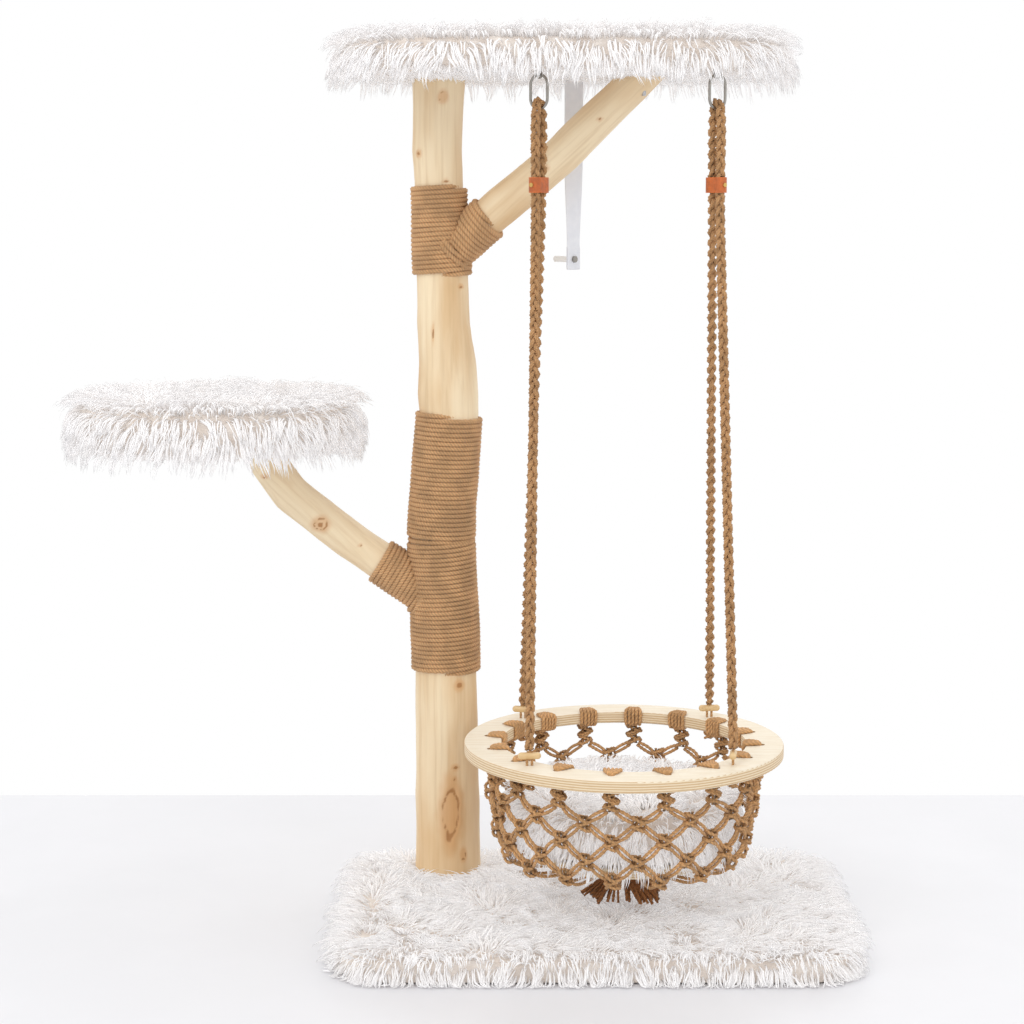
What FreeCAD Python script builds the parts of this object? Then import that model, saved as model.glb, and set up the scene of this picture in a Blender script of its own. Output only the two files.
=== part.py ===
"""Cat tree: a branched log trunk on a plush base, two plush shelves and a hanging net basket.

Origin: centre of the base's underside. +X to the right, +Y away from the front, +Z up. Millimetres.
"""

import FreeCAD, Part
import math
import os

import Sketcher
from FreeCAD import Placement, Rotation, Vector

doc = FreeCAD.newDocument("cat_tree")
sheet = doc.addObject("Spreadsheet::Sheet", "dims")

DIMENSIONS = {
    # base
    "base_length": 590, "base_width": 385, "base_corner": 50, "board_thickness": 18,
    "underlay_thickness": 3, "underlay_inset": 5, "base_plush_margin": 25, "base_plush_top": 41,
    "base_plush_bottom": 2, "plush_edge": 11,
    # trunk, branches and their rope wraps
    "trunk_depth": 145, "wrap_thickness": 6, "stud_radius": 6, "stud_reach": 50,
    "branch_stud_radius": 5, "branch_stud_length": 95, "branch_stud_start": 8,
    "cope_width": 200, "cope_height": 60,
    # side shelf
    "side_shelf_x": -489, "side_shelf_radius": 170, "side_shelf_z": 628,
    "side_plush_margin": 28, "side_plush_drop": 23, "side_plush_rise": 22,
    # top shelf
    "top_shelf_x": -39, "top_shelf_y": 89, "top_shelf_z": 1085, "top_shelf_length": 535,
    "top_shelf_width": 315, "top_shelf_corner": 150, "top_plush_margin": 25,
    "top_plush_drop": 23, "top_plush_rise": 25,
    # screws
    "screw_radius": 2.5, "screw_head_radius": 5, "screw_head_height": 3, "screw_spread": 15,
    "base_screw_length": 72, "shelf_screw_length": 52, "top_screw_inset": 13,
    "top_screw_spread": 9, "side_screw_near": 2, "side_screw_far": 17, "side_screw_spread": 10,
    # hooks and rings
    "left_hook_x": -69.5, "right_hook_x": 145.5, "hook_y": -22, "ring_wire_radius": 1.75,
    "ring_half_width": 12.25, "ring_straight": 16, "ring_yaw": 35, "ring_bottom_z": 1030.25,
    "eye_radius": 7, "eye_wire_radius": 1.5, "eye_shank_radius": 2, "eye_shank_top": 1099,
    "link_play": 0.6,
    # braided ropes, leather bands and toggles
    "rope_radius": 6.3, "band_z": 930, "band_height": 18.5, "band_wall": 1.5, "band_spacing": 12.8,
    "band_slack": 1.6, "band_play": 0.3,
    "band_bend": 9, "rope_meet_z": 926, "ring_play": 0.9, "rope_end_z": 269.5,
    "rivet_radius": 2.6, "rivet_height": 1.6,
    "toggle_z": 262, "toggle_radius": 4.25, "toggle_straight": 19.5,
    "tie_radius": 1.75, "tie_spacing": 6, "tie_knot_radius": 6.5, "tie_knot_z": 226.5,
    # basket
    "basket_x": 38, "basket_y": -22, "basket_yaw": 1.5, "rim_radius": 200,
    "rim_hole_radius": 153, "rim_thickness": 15, "rim_z": 235, "rim_edge": 2,
    "rope_hole_radius": 173, "lashing_count": 16, "lashing_phase": 13.25,
    "lashing_hole_radius": 4.5, "lashing_hole_circle": 172, "lashing_width": 20,
    "lashing_inner": 149, "lashing_outer": 178.5, "lashing_cord": 4,
    "stem_inner": 160, "stem_outer": 175, "net_top_z": 214, "net_floor_z": 108,
    "net_inner_top": 172.5, "net_inner_middle": 158, "net_inner_floor": 142,
    "floor_disc_radius": 125, "floor_disc_thickness": 12, "floor_disc_edge": 2,
    "cushion_radius": 145, "cushion_top_z": 200, "cushion_edge": 22,
    "gather_radius": 14, "gather_bottom_z": 75, "tassel_radius": 55, "tassel_neck": 11,
    "tassel_bottom_z": 52.5,
    # anti-tip strap
    "strap_x": -22, "strap_y": 170, "strap_width": 25, "strap_thickness": 1.5,
    "strap_pin_z": 1079, "strap_pin_radius": 1.5, "strap_eye_radius": 4.2, "strap_bottom_z": 862,
    "strap_tab_height": 32, "strap_tab_width": 22, "strap_tab_thickness": 3, "strap_yaw": 45,
    "strap_seam": 1, "strap_tab_lap": 2, "saddle_span": 36, "saddle_rise": 12,
    "anchor_screw_radius": 2, "anchor_screw_length": 34,
    "anchor_head_radius": 4.2, "anchor_head_height": 2.6, "plug_radius": 4, "plug_length": 28, "plug_gap": 3,
}

# Log sections from the bottom up: height, radius and sideways place of the centre.
TRUNK = [
    (21, 43.5, -188), (110, 42.2, -188.5), (220, 41, -188.8), (306, 40.6, -189.6),
    (380, 40.4, -191.4), (480, 39.7, -195.5), (560, 39, -190.5), (645, 38.6, -184.5),
    (672, 39.8, -186.5), (713, 36.6, -187), (765, 34, -191.5), (827, 32.6, -192),
    (885, 31.8, -194.5), (939, 31, -195.5), (985, 32, -198), (1035, 32.8, -197), (1085, 34, -196),
]
TRUNK_JOINT = 6            # the two lengths of trunk meet at this section, counted from 1
LOWER_WRAP = range(4, 9)   # sections under the lower rope wrap
UPPER_WRAP = range(12, 15)

# Branch axes from the trunk's axis outwards: x, y, z and radius. The second point ends the wrap.
LOWER_BRANCH = [
    (-192, 145, 395, 26), (-276, 145, 451, 25.5), (-345, 145, 502, 25), (-392, 145, 540, 24.5),
    (-425, 145, 585, 24.5), (-449, 145, 640, 25),
]
UPPER_BRANCH = [
    (-194, 145, 847, 25), (-131, 130, 901, 25), (-40, 110, 978, 24.5), (42, 92, 1058, 23.5),
    (76, 85, 1094, 23.5),
]

START_SIZE = 100           # what a sketch's lines measure before the sheet drives them

# Outer half-profile of the net, from the bottom up: height and radius.
NET = [(90, 105), (100, 144), (114, 156), (131, 165), (181, 165), (214, 180)]


def add_dimensions(rows):
    """Write every driving dimension to the sheet, one row each, under its alias."""
    for row, (alias, value) in enumerate(rows, start=1):
        sheet.set(f"A{row}", alias)
        sheet.set(f"B{row}", str(value))
        sheet.setAlias(f"B{row}", alias)


def numbered(name, fields, table):
    """Rows for a table of sections, such as trunk_radius_3."""
    return [
        (f"{name}_{field}_{place}", value)
        for place, section in enumerate(table, start=1)
        for field, value in zip(fields, section)
    ]


rows = list(DIMENSIONS.items())
rows += numbered("trunk", ("height", "radius", "shift"), TRUNK)
rows += numbered("lowbranch", ("x", "y", "z", "radius"), LOWER_BRANCH)
rows += numbered("topbranch", ("x", "y", "z", "radius"), UPPER_BRANCH)
rows += numbered("net", ("height", "radius"), NET)
add_dimensions(rows)
doc.recompute()


def dim(alias):
    return float(sheet.get(alias))


def bind(obj, **sizes):
    """Drive an object's properties from expressions on the sheet."""
    for name, expression in sizes.items():
        obj.setExpression(name, str(expression))
    return obj


def place(obj, x=0, y=0, z=0, rotation=Rotation()):
    """Turn an object, then drive its position from expressions on the sheet."""
    obj.Placement = Placement(Vector(), rotation)
    for axis, expression in (("x", x), ("y", y), ("z", z)):
        obj.setExpression(f"Placement.Base.{axis}", str(expression))
    return obj


def about_z(degrees):
    return Rotation(Vector(0, 0, 1), degrees)


def along(direction):
    """The rotation that takes +Z to a direction."""
    return Rotation(Vector(0, 0, 1), direction)


# ---------------------------------------------------------------- primitives and booleans

def cylinder(name, radius, height, x=0, y=0, z=0, rotation=Rotation()):
    solid = doc.addObject("Part::Cylinder", name)
    return place(bind(solid, Radius=radius, Height=height), x, y, z, rotation)


def cone(name, bottom, top, height, x=0, y=0, z=0, rotation=Rotation()):
    solid = doc.addObject("Part::Cone", name)
    return place(bind(solid, Radius1=bottom, Radius2=top, Height=height), x, y, z, rotation)


def ball(name, radius, x, y, z):
    return place(bind(doc.addObject("Part::Sphere", name), Radius=radius), x, y, z)


def block(name, length, width, height, x, y, z, rotation=Rotation()):
    solid = doc.addObject("Part::Box", name)
    return place(bind(solid, Length=length, Width=width, Height=height), x, y, z, rotation)


def fuse(name, pieces):
    joined = doc.addObject("Part::MultiFuse", name)
    joined.Shapes = pieces
    return joined


def cut(name, base, *tools):
    """Take each tool away from the base in turn."""
    result = base
    for place_in_turn, tool in enumerate(tools, start=1):
        step = doc.addObject("Part::Cut", f"{name}_less_{place_in_turn}")
        step.Base = result
        step.Tool = tool
        result = step
    return result


# ---------------------------------------------------------------- lofted logs

def round_section(name, x, y, z, radius, direction):
    circle = bind(doc.addObject("Part::Circle", name), Radius=radius)
    return place(circle, x, y, z, along(direction))


def loft(name, sections):
    solid = doc.addObject("Part::Loft", name)
    solid.Sections = sections
    solid.Solid = True
    solid.Ruled = True
    return solid


def trunk_loft(name, places, growth="0"):
    """A stretch of the trunk, or the outside of a wrap round it."""
    up = Vector(0, 0, 1)
    sections = [
        round_section(f"{name}_{p}", f"dims.trunk_shift_{p}", "dims.trunk_depth",
                      f"dims.trunk_height_{p}", f"dims.trunk_radius_{p} + {growth}", up)
        for p in places
    ]
    return loft(name, sections)


def branch_point(prefix, p):
    return Vector(*(dim(f"{prefix}_{axis}_{p}") for axis in "xyz"))


def branch_loft(name, prefix, count, growth="0"):
    """A branch through its axis points, each section square to the run of its neighbours."""
    last = sum(1 for alias, _ in rows if alias.startswith(f"{prefix}_x_"))
    sections = []
    for p in range(1, count + 1):
        direction = branch_point(prefix, min(p + 1, last)) - branch_point(prefix, max(p - 1, 1))
        sections.append(round_section(
            f"{name}_{p}", f"dims.{prefix}_x_{p}", f"dims.{prefix}_y_{p}", f"dims.{prefix}_z_{p}",
            f"dims.{prefix}_radius_{p} + {growth}", direction))
    return loft(name, sections)


def branch_stud(name, prefix):
    """The threaded stud along the root of a branch, half in the trunk and half in the branch."""
    root = branch_point(prefix, 1)
    run = (branch_point(prefix, 2) - root).normalize()
    start = "dims.branch_stud_start"
    return cylinder(name, "dims.branch_stud_radius", "dims.branch_stud_length",
                    f"dims.{prefix}_x_1 + {start} * {run.x}", f"dims.{prefix}_y_1 + {start} * {run.y}",
                    f"dims.{prefix}_z_1 + {start} * {run.z}", along(run))


# ---------------------------------------------------------------- boards and plush covers

def plane_of(body, role):
    return [(feature, "") for feature in body.Origin.OriginFeatures if feature.Role == role]


def new_sketch(body, name):
    sketch = body.newObject("Sketcher::SketchObject", name)
    sketch.AttachmentSupport = plane_of(body, "XY_Plane")
    sketch.MapMode = "FlatFace"
    return sketch


def rectangle_sketch(body, name, length, width):
    """A rectangle centred on the body's origin."""
    sketch = new_sketch(body, name)
    corners = [Vector(-1, -1), Vector(1, -1), Vector(1, 1), Vector(-1, 1)]
    for start, end in zip(corners, corners[1:] + corners[:1]):
        sketch.addGeometry(Part.LineSegment(start * START_SIZE / 2, end * START_SIZE / 2))
    for line in range(4):
        sketch.addConstraint(Sketcher.Constraint("Coincident", line, 2, (line + 1) % 4, 1))
        sketch.addConstraint(Sketcher.Constraint("Vertical" if line % 2 else "Horizontal", line))
    sketch.addConstraint(Sketcher.Constraint("Symmetric", 0, 1, 1, 2, -1, 1))
    for line, label, size in ((0, "long", length), (1, "wide", width)):
        number = sketch.addConstraint(Sketcher.Constraint("Distance", line, START_SIZE))
        sketch.renameConstraint(number, label)
        sketch.setExpression(f"Constraints.{label}", size)
    return sketch


def circle_sketch(body, name, radii, x="0", y="0"):
    """Circles about one centre."""
    sketch = new_sketch(body, name)
    for number, radius in enumerate(radii):
        start = START_SIZE + number
        circle = sketch.addGeometry(Part.Circle(Vector(0, 0, 0), Vector(0, 0, 1), start))
        sizes = (("r", "Radius", radius), ("x", "DistanceX", x), ("y", "DistanceY", y))
        for label, kind, size in sizes:
            if kind == "Radius":
                constraint = Sketcher.Constraint(kind, circle, start)
            else:
                constraint = Sketcher.Constraint(kind, -1, 1, circle, 3, 0)
            index = sketch.addConstraint(constraint)
            sketch.renameConstraint(index, f"{label}{number}")
            sketch.setExpression(f"Constraints.{label}{number}", size)
    return sketch


def pad(body, sketch, length):
    feature = body.newObject("PartDesign::Pad", f"{body.Name}_pad")
    feature.Profile = sketch
    return bind(feature, Length=length)


def pocket(body, name, sketch, depth):
    """A pocket up into the body from its underside."""
    feature = body.newObject("PartDesign::Pocket", name)
    feature.Profile = sketch
    feature.Reversed = True
    return bind(feature, Length=depth)


def round_edges(body, name, base, radius, wanted):
    """Fillet the edges of a feature that a test picks."""
    doc.recompute()
    edges = [f"Edge{n}" for n, edge in enumerate(base.Shape.Edges, start=1) if wanted(edge)]
    feature = body.newObject("PartDesign::Fillet", name)
    feature.Base = (base, edges)
    return bind(feature, Radius=radius)


def upright(edge):
    box = edge.BoundBox
    return box.ZLength > 1 and box.XLength < 0.01 and box.YLength < 0.01 and len(edge.Vertexes) == 2


def level(edge):
    return edge.BoundBox.ZLength < 0.01


def level_at(height):
    return lambda edge: level(edge) and abs(edge.BoundBox.ZMax - height) < 0.01


def level_circle(edge):
    return level(edge) and len(edge.Vertexes) == 1


def board(name, length, width, corner, thickness, x="0", y="0", z="0"):
    """A rectangular board with rounded corners."""
    body = doc.addObject("PartDesign::Body", name)
    slab = pad(body, rectangle_sketch(body, f"{name}_outline", length, width), thickness)
    round_edges(body, f"{name}_corners", slab, corner, upright)
    return place(body, x, y, z)


def disc(name, radius, thickness, edge, x, y, z):
    """A round board or cushion with eased edges."""
    body = doc.addObject("PartDesign::Body", name)
    slab = pad(body, circle_sketch(body, f"{name}_outline", [radius]), thickness)
    if edge:
        round_edges(body, f"{name}_edges", slab, edge, level_circle)
    return place(body, x, y, z)


def board_cover(name, length, width, corner, margin, drop, rise, x, y, z):
    """Plush over a rectangular board: rounded on top, with a skirt round the board's edge."""
    body = doc.addObject("PartDesign::Body", name)
    thickness = f"{drop} + dims.board_thickness + {rise}"
    outline = rectangle_sketch(body, f"{name}_outline", f"{length} + 2 * {margin}",
                               f"{width} + 2 * {margin}")
    slab = pad(body, outline, thickness)
    shaped = round_edges(body, f"{name}_corners", slab, f"{corner} + {margin}", upright)
    doc.recompute()
    top = shaped.Shape.BoundBox.ZMax
    round_edges(body, f"{name}_brow", shaped, "dims.plush_edge", level_at(top))
    hollow = board(f"{name}_hollow", length, width, corner, f"{drop} + dims.board_thickness",
                   x, y, f"{z} - {drop}")
    return cut(name, place(body, x, y, f"{z} - {drop}"), hollow)


def disc_cover(name, radius, margin, drop, rise, x, y, z):
    """Plush over a round board, made as one body with a pocket for the board."""
    body = doc.addObject("PartDesign::Body", name)
    slab = pad(body, circle_sketch(body, f"{name}_outline", [f"{radius} + {margin}"]),
               f"{drop} + dims.board_thickness + {rise}")
    doc.recompute()
    top = slab.Shape.BoundBox.ZMax
    round_edges(body, f"{name}_brow", slab, "dims.plush_edge", level_at(top))
    pocket(body, f"{name}_hollow", circle_sketch(body, f"{name}_board", [radius]),
           f"{drop} + dims.board_thickness")
    return place(body, x, y, f"{z} - {drop}")


# ---------------------------------------------------------------- fasteners and ironwork

def screw(name, x, y, head_z, length, points_up):
    """A countersunk wood screw whose head is flush at head_z."""
    turn = Rotation() if points_up else Rotation(Vector(1, 0, 0), 180)
    head = cone(f"{name}_head", "dims.screw_head_radius", "dims.screw_radius",
                "dims.screw_head_height", x, y, head_z, turn)
    shank = cylinder(f"{name}_shank", "dims.screw_radius", length, x, y, head_z, turn)
    return fuse(name, [head, shank])


def screw_group(name, spots, head_z, length, points_up):
    screws = [screw(f"{name}_{n}", x, y, head_z, length, points_up)
              for n, (x, y) in enumerate(spots, start=1)]
    group = doc.addObject("Part::Compound", name)
    group.Links = screws
    return group


def standing_torus(name, radius, wire, x, y, z, yaw, half=False):
    """A ring of wire in an upright plane, or the upper half of one."""
    ring = bind(doc.addObject("Part::Torus", name), Radius1=radius, Radius2=wire)
    if half:
        ring.Angle3 = 180
    return place(ring, x, y, z, about_z(yaw) * Rotation(Vector(1, 0, 0), 90))


def hanger_ring(side, sign):
    """A long steel ring: two half rings of wire joined by two straights."""
    name = f"{side}_hanger_ring"
    hook = f"dims.{side}_hook_x"
    yaw = sign * dim("ring_yaw")
    low = "dims.ring_bottom_z + dims.ring_half_width"
    high = f"{low} + dims.ring_straight"
    wire = "dims.ring_wire_radius"
    width, depth = "dims.ring_half_width", "dims.hook_y"
    top = standing_torus(f"{name}_top", width, wire, hook, depth, high, yaw, half=True)
    bottom = standing_torus(f"{name}_bottom", width, wire, hook, depth, low, yaw, half=True)
    bottom.Placement.Rotation = bottom.Placement.Rotation * Rotation(Vector(0, 0, 1), 180)
    straights = [
        cylinder(f"{name}_leg_{n}", wire, "dims.ring_straight",
                 f"{hook} + {way} * dims.ring_half_width * {math.cos(math.radians(yaw))}",
                 f"dims.hook_y + {way} * dims.ring_half_width * {math.sin(math.radians(yaw))}", low)
        for n, way in enumerate((-1, 1), start=1)
    ]
    return fuse(name, [top, bottom] + straights)


def screw_eye(side, sign):
    """An eye square to the ring it holds, with a shank up into the shelf board."""
    name = f"{side}_screw_eye"
    hook = f"dims.{side}_hook_x"
    eye_z = ("dims.ring_bottom_z + 2 * dims.ring_half_width + dims.ring_straight"
             " - dims.ring_wire_radius - dims.eye_wire_radius - dims.link_play + dims.eye_radius")
    loop = standing_torus(f"{name}_loop", "dims.eye_radius", "dims.eye_wire_radius",
                          hook, "dims.hook_y", eye_z, sign * dim("ring_yaw") + 90)
    shank = cylinder(f"{name}_shank", "dims.eye_shank_radius",
                     f"dims.eye_shank_top - ({eye_z}) - dims.eye_radius",
                     hook, "dims.hook_y", f"{eye_z} + dims.eye_radius")
    return fuse(name, [loop, shank])


# ---------------------------------------------------------------- ropes

def rounded_path(points, bends):
    """Straight runs joined by tangent arcs; each bend is the length it takes from its two runs."""
    edges = []
    radii = []
    start = points[0]
    for before, corner, after, bend in zip(points, points[1:], points[2:], bends):
        run_in = (corner - before).normalize()
        run_out = (after - corner).normalize()
        half_turn = run_in.getAngle(run_out) / 2
        radius = bend / math.tan(half_turn)
        first = corner - run_in * bend
        last = corner + run_out * bend
        inward = (run_out - run_in).normalize()
        middle = corner + inward * (radius / math.cos(half_turn) - radius)
        edges += [Part.LineSegment(start, first).toShape(), Part.Arc(first, middle, last).toShape()]
        radii.append(round(radius, 1))
        start = last
    edges.append(Part.LineSegment(start, points[-1]).toShape())
    return Part.Wire(edges), radii


def rope_tube(name, points, bends):
    """A round rope along a rounded path, checked against its section times its length."""
    path, radii = rounded_path(points, bends)
    radius = dim("rope_radius")
    start = points[1] - points[0]
    profile = Part.Wire([Part.makeCircle(radius, points[0], start)])
    tube = path.makePipeShell([profile], True, True)
    expected = math.pi * radius ** 2 * path.Length
    if abs(tube.Volume - expected) > 0.01 * expected:
        raise RuntimeError(f"{name}: volume {tube.Volume:.0f} is not {expected:.0f}")
    print(f"{name}: {path.Length:.0f} mm long, bend radii {radii}")
    feature = doc.addObject("Part::Feature", name)
    feature.Shape = tube
    return feature


def rim_spot(angle, radius):
    """A point of the basket's rim, by its angle round from the front and its radius."""
    turn = math.radians(angle + dim("basket_yaw"))
    return Vector(dim("basket_x") + radius * math.sin(turn),
                  dim("basket_y") - radius * math.cos(turn), 0)


ROPE_HOLE_ANGLES = {"left": (-45, -135), "right": (45, 135)}   # front hole, back hole


def rope(side, sign):
    """One rope: up from the front of the rim, over its ring and down to the back of the rim."""
    wire_top = dim("ring_bottom_z") + dim("ring_wire_radius")
    over_ring = wire_top + dim("rope_radius") + dim("ring_play")
    half_width = dim("ring_wire_radius") + dim("rope_radius") + dim("ring_play")
    yaw = math.radians(sign * dim("ring_yaw"))
    forward = Vector(math.sin(yaw), -math.cos(yaw), 0)
    hook = Vector(dim(f"{side}_hook_x"), dim("hook_y"), 0)
    band = Vector(0, 0, dim("rope_meet_z"))
    top = Vector(0, 0, over_ring)
    end = Vector(0, 0, dim("rope_end_z"))
    front, back = (rim_spot(angle, dim("rope_hole_radius")) for angle in ROPE_HOLE_ANGLES[side])
    half_spacing = dim("band_spacing") / 2
    points = [
        front + end, hook + band + forward * half_spacing, hook + top + forward * half_width,
        hook + top - forward * half_width, hook + band - forward * half_spacing, back + end,
    ]
    under_band, over_wire = dim("band_bend"), 0.98 * half_width
    return rope_tube(f"{side}_rope", points, [under_band, over_wire, over_wire, under_band])


def racetrack(name, spacing, radius, height, x, y, z, yaw):
    """An upright prism round two parallel cylinders."""
    turn = math.radians(yaw)
    across = (math.sin(turn), -math.cos(turn))
    ends = [
        cylinder(f"{name}_end_{n}", radius, height, f"{x} + {way} * {spacing} / 2 * {across[0]}",
                 f"{y} + {way} * {spacing} / 2 * {across[1]}", z)
        for n, way in enumerate((-1, 1), start=1)
    ]
    side = (math.cos(turn), math.sin(turn))
    middle = block(
        f"{name}_middle", f"2 * {radius}", spacing, height,
        f"{x} - {radius} * {side[0]} + {spacing} / 2 * {across[0]}",
        f"{y} - {radius} * {side[1]} + {spacing} / 2 * {across[1]}", z, about_z(yaw))
    return fuse(name, ends + [middle])


def leather_band(side, sign):
    """The leather band round both legs of a rope, with its rivet on the front."""
    name = f"{side}_leather_band"
    x, y, yaw = f"dims.{side}_hook_x", "dims.hook_y", sign * dim("ring_yaw")
    spacing = "(dims.band_spacing + dims.band_slack)"
    inner = "(dims.rope_radius + dims.band_play)"
    outer = f"({inner} + dims.band_wall)"
    tall, low = "dims.band_height", "dims.band_z"
    shell = racetrack(f"{name}_outside", spacing, outer, tall, x, y, low, yaw)
    hollow = racetrack(f"{name}_inside", spacing, inner, tall, x, y, low, yaw)
    turn = math.radians(yaw)
    reach = f"({spacing} / 2 + {outer})"
    rivet = cylinder(
        f"{side}_band_rivet", "dims.rivet_radius", "dims.rivet_height",
        f"{x} + {reach} * {math.sin(turn)}", f"{y} - {reach} * {math.cos(turn)}",
        "dims.band_z + dims.band_height / 2", along(Vector(math.sin(turn), -math.cos(turn), 0)))
    return cut(name, shell, hollow), cut(f"{side}_band_rivet_seated", rivet, shell)


def hole_x(angle, offset="0"):
    turn = math.radians(angle + dim("basket_yaw"))
    return f"dims.basket_x + dims.rope_hole_radius * {math.sin(turn)} + {offset}"


def hole_y(angle, offset="0"):
    turn = math.radians(angle + dim("basket_yaw"))
    return f"dims.basket_y - dims.rope_hole_radius * {math.cos(turn)} + {offset}"


TOGGLES = {-45: 4, -135: -8, 45: 82, 135: 6}   # angle of the rim hole: which way its bar lies


def toggle_bars():
    """Round-ended wooden bars across the rope ends."""
    bars = []
    for n, (angle, yaw) in enumerate(TOGGLES.items(), start=1):
        way = Vector(math.cos(math.radians(yaw)), math.sin(math.radians(yaw)), 0)
        half = "dims.toggle_straight / 2"
        ends = [(hole_x(angle, f"{sign} * {half} * {way.x}"),
                 hole_y(angle, f"{sign} * {half} * {way.y}")) for sign in (-1, 1)]
        rod = cylinder(f"toggle_{n}_rod", "dims.toggle_radius", "dims.toggle_straight",
                       ends[0][0], ends[0][1], "dims.toggle_z", along(way))
        tips = [ball(f"toggle_{n}_tip_{k}", "dims.toggle_radius", x, y, "dims.toggle_z")
                for k, (x, y) in enumerate(ends, start=1)]
        bars.append(fuse(f"toggle_{n}", [rod] + tips))
    group = doc.addObject("Part::Compound", "toggle_bars")
    group.Links = bars
    return group


def toggle_ties():
    """Two thin cords from each toggle down through the rim to a stopper knot."""
    ties = []
    for n, angle in enumerate(TOGGLES, start=1):
        way = math.radians(TOGGLES[angle])
        cords = [
            cylinder(f"tie_{n}_cord_{k}", "dims.tie_radius", "dims.toggle_z - dims.tie_knot_z",
                     hole_x(angle, f"{sign} * dims.tie_spacing / 2 * {math.cos(way)}"),
                     hole_y(angle, f"{sign} * dims.tie_spacing / 2 * {math.sin(way)}"),
                     "dims.tie_knot_z")
            for k, sign in enumerate((-1, 1), start=1)
        ]
        knot = ball(f"tie_{n}_knot", "dims.tie_knot_radius", hole_x(angle), hole_y(angle),
                    "dims.tie_knot_z")
        ties.append(fuse(f"tie_{n}", cords + [knot]))
    group = doc.addObject("Part::Compound", "tie_cords")
    group.Links = ties
    return group


# ---------------------------------------------------------------- basket

BASKET_AT = ("dims.basket_x", "dims.basket_y")


def rim_ring():
    """Plywood ring with a circle of small holes for the lashings."""
    body = doc.addObject("PartDesign::Body", "rim_ring")
    ring = pad(body, circle_sketch(body, "rim_outline", ["dims.rim_radius", "dims.rim_hole_radius"]),
               "dims.rim_thickness")
    round_edges(body, "rim_edges", ring, "dims.rim_edge", level)
    turn = math.radians(dim("lashing_phase"))
    hole = pocket(body, "lashing_hole", circle_sketch(
        body, "lashing_hole_outline", ["dims.lashing_hole_radius"],
        f"dims.lashing_hole_circle * {math.sin(turn)}", f"-dims.lashing_hole_circle * {math.cos(turn)}"),
        "dims.rim_thickness")
    doc.recompute()
    pattern = body.newObject("PartDesign::PolarPattern", "lashing_holes")
    pattern.Originals = [hole]
    pattern.Axis = (plane_of(body, "Z_Axis")[0][0], [""])
    pattern.Angle = 360
    bind(pattern, Occurrences="dims.lashing_count")
    body.Tip = pattern
    return place(body, *BASKET_AT, "dims.rim_z", about_z(dim("basket_yaw")))


def lashings():
    """Cord lashings through the rim's holes and round its inner edge, each with a knotted stem."""
    pieces = []
    count = int(dim("lashing_count"))
    for n in range(count):
        angle = 360 * n / count + dim("lashing_phase") + dim("basket_yaw")
        outward = Vector(math.sin(math.radians(angle)), -math.cos(math.radians(angle)), 0)
        side = Vector(-outward.y, outward.x, 0)
        for part, inner, outer, low, high in (
                ("wrap", "dims.lashing_inner", "dims.lashing_outer", "dims.rim_z - dims.lashing_cord",
                 "dims.rim_z + dims.rim_thickness + dims.lashing_cord"),
                ("stem", "dims.stem_inner", "dims.stem_outer", "dims.net_top_z",
                 "dims.rim_z - dims.lashing_cord")):
            half = "dims.lashing_width / 2"
            pieces.append(block(
                f"lashing_{part}_{n + 1}", "dims.lashing_width", f"{outer} - {inner}",
                f"{high} - ({low})",
                f"dims.basket_x + {outer} * {outward.x} - {half} * {side.x}",
                f"dims.basket_y + {outer} * {outward.y} - {half} * {side.y}",
                low, about_z(angle)))
    return fuse("lashing_blocks", pieces)


def level_section(name, radius, z):
    return round_section(name, *BASKET_AT, z, radius, Vector(0, 0, 1))


def net_bowl():
    """The net as an open bowl whose inside floor carries the wooden disc."""
    outside = loft("net_outside", [
        level_section(f"net_outside_{p}", f"dims.net_radius_{p}", f"dims.net_height_{p}")
        for p in range(1, len(NET) + 1)])
    inside = loft("net_inside", [
        level_section("net_inside_floor", "dims.net_inner_floor", "dims.net_floor_z"),
        level_section("net_inside_low", "dims.net_inner_middle", "dims.net_height_4"),
        level_section("net_inside_high", "dims.net_inner_middle", "dims.net_height_5"),
        level_section("net_inside_top", "dims.net_inner_top", "dims.net_top_z"),
    ])
    return cut("net_bowl", outside, inside)


# ---------------------------------------------------------------- anti-tip strap

def strap_saddle():
    """A wire staple under the top shelf, with a level bar that the strap hangs on."""
    half = "dims.saddle_span / 2"
    bar = cylinder("saddle_bar", "dims.strap_pin_radius", "dims.saddle_span",
                   f"dims.strap_x - {half}", "dims.strap_y", "dims.strap_pin_z", along(Vector(1, 0, 0)))
    legs = []
    for n, sign in enumerate((-1, 1), start=1):
        x = f"dims.strap_x + {sign} * {half}"
        legs.append(ball(f"saddle_bend_{n}", "dims.strap_pin_radius", x, "dims.strap_y", "dims.strap_pin_z"))
        legs.append(cylinder(f"saddle_leg_{n}", "dims.strap_pin_radius",
                             "dims.top_shelf_z + dims.saddle_rise - dims.strap_pin_z", x, "dims.strap_y",
                             "dims.strap_pin_z"))
    return fuse("saddle_wire", [bar] + legs)


def strap_frame():
    """Directions of the strap's turned end tab: along its width and out of its back."""
    turn = math.radians(dim("strap_yaw"))
    return (Vector(math.cos(turn), math.sin(turn), 0), Vector(-math.sin(turn), math.cos(turn), 0))


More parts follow.
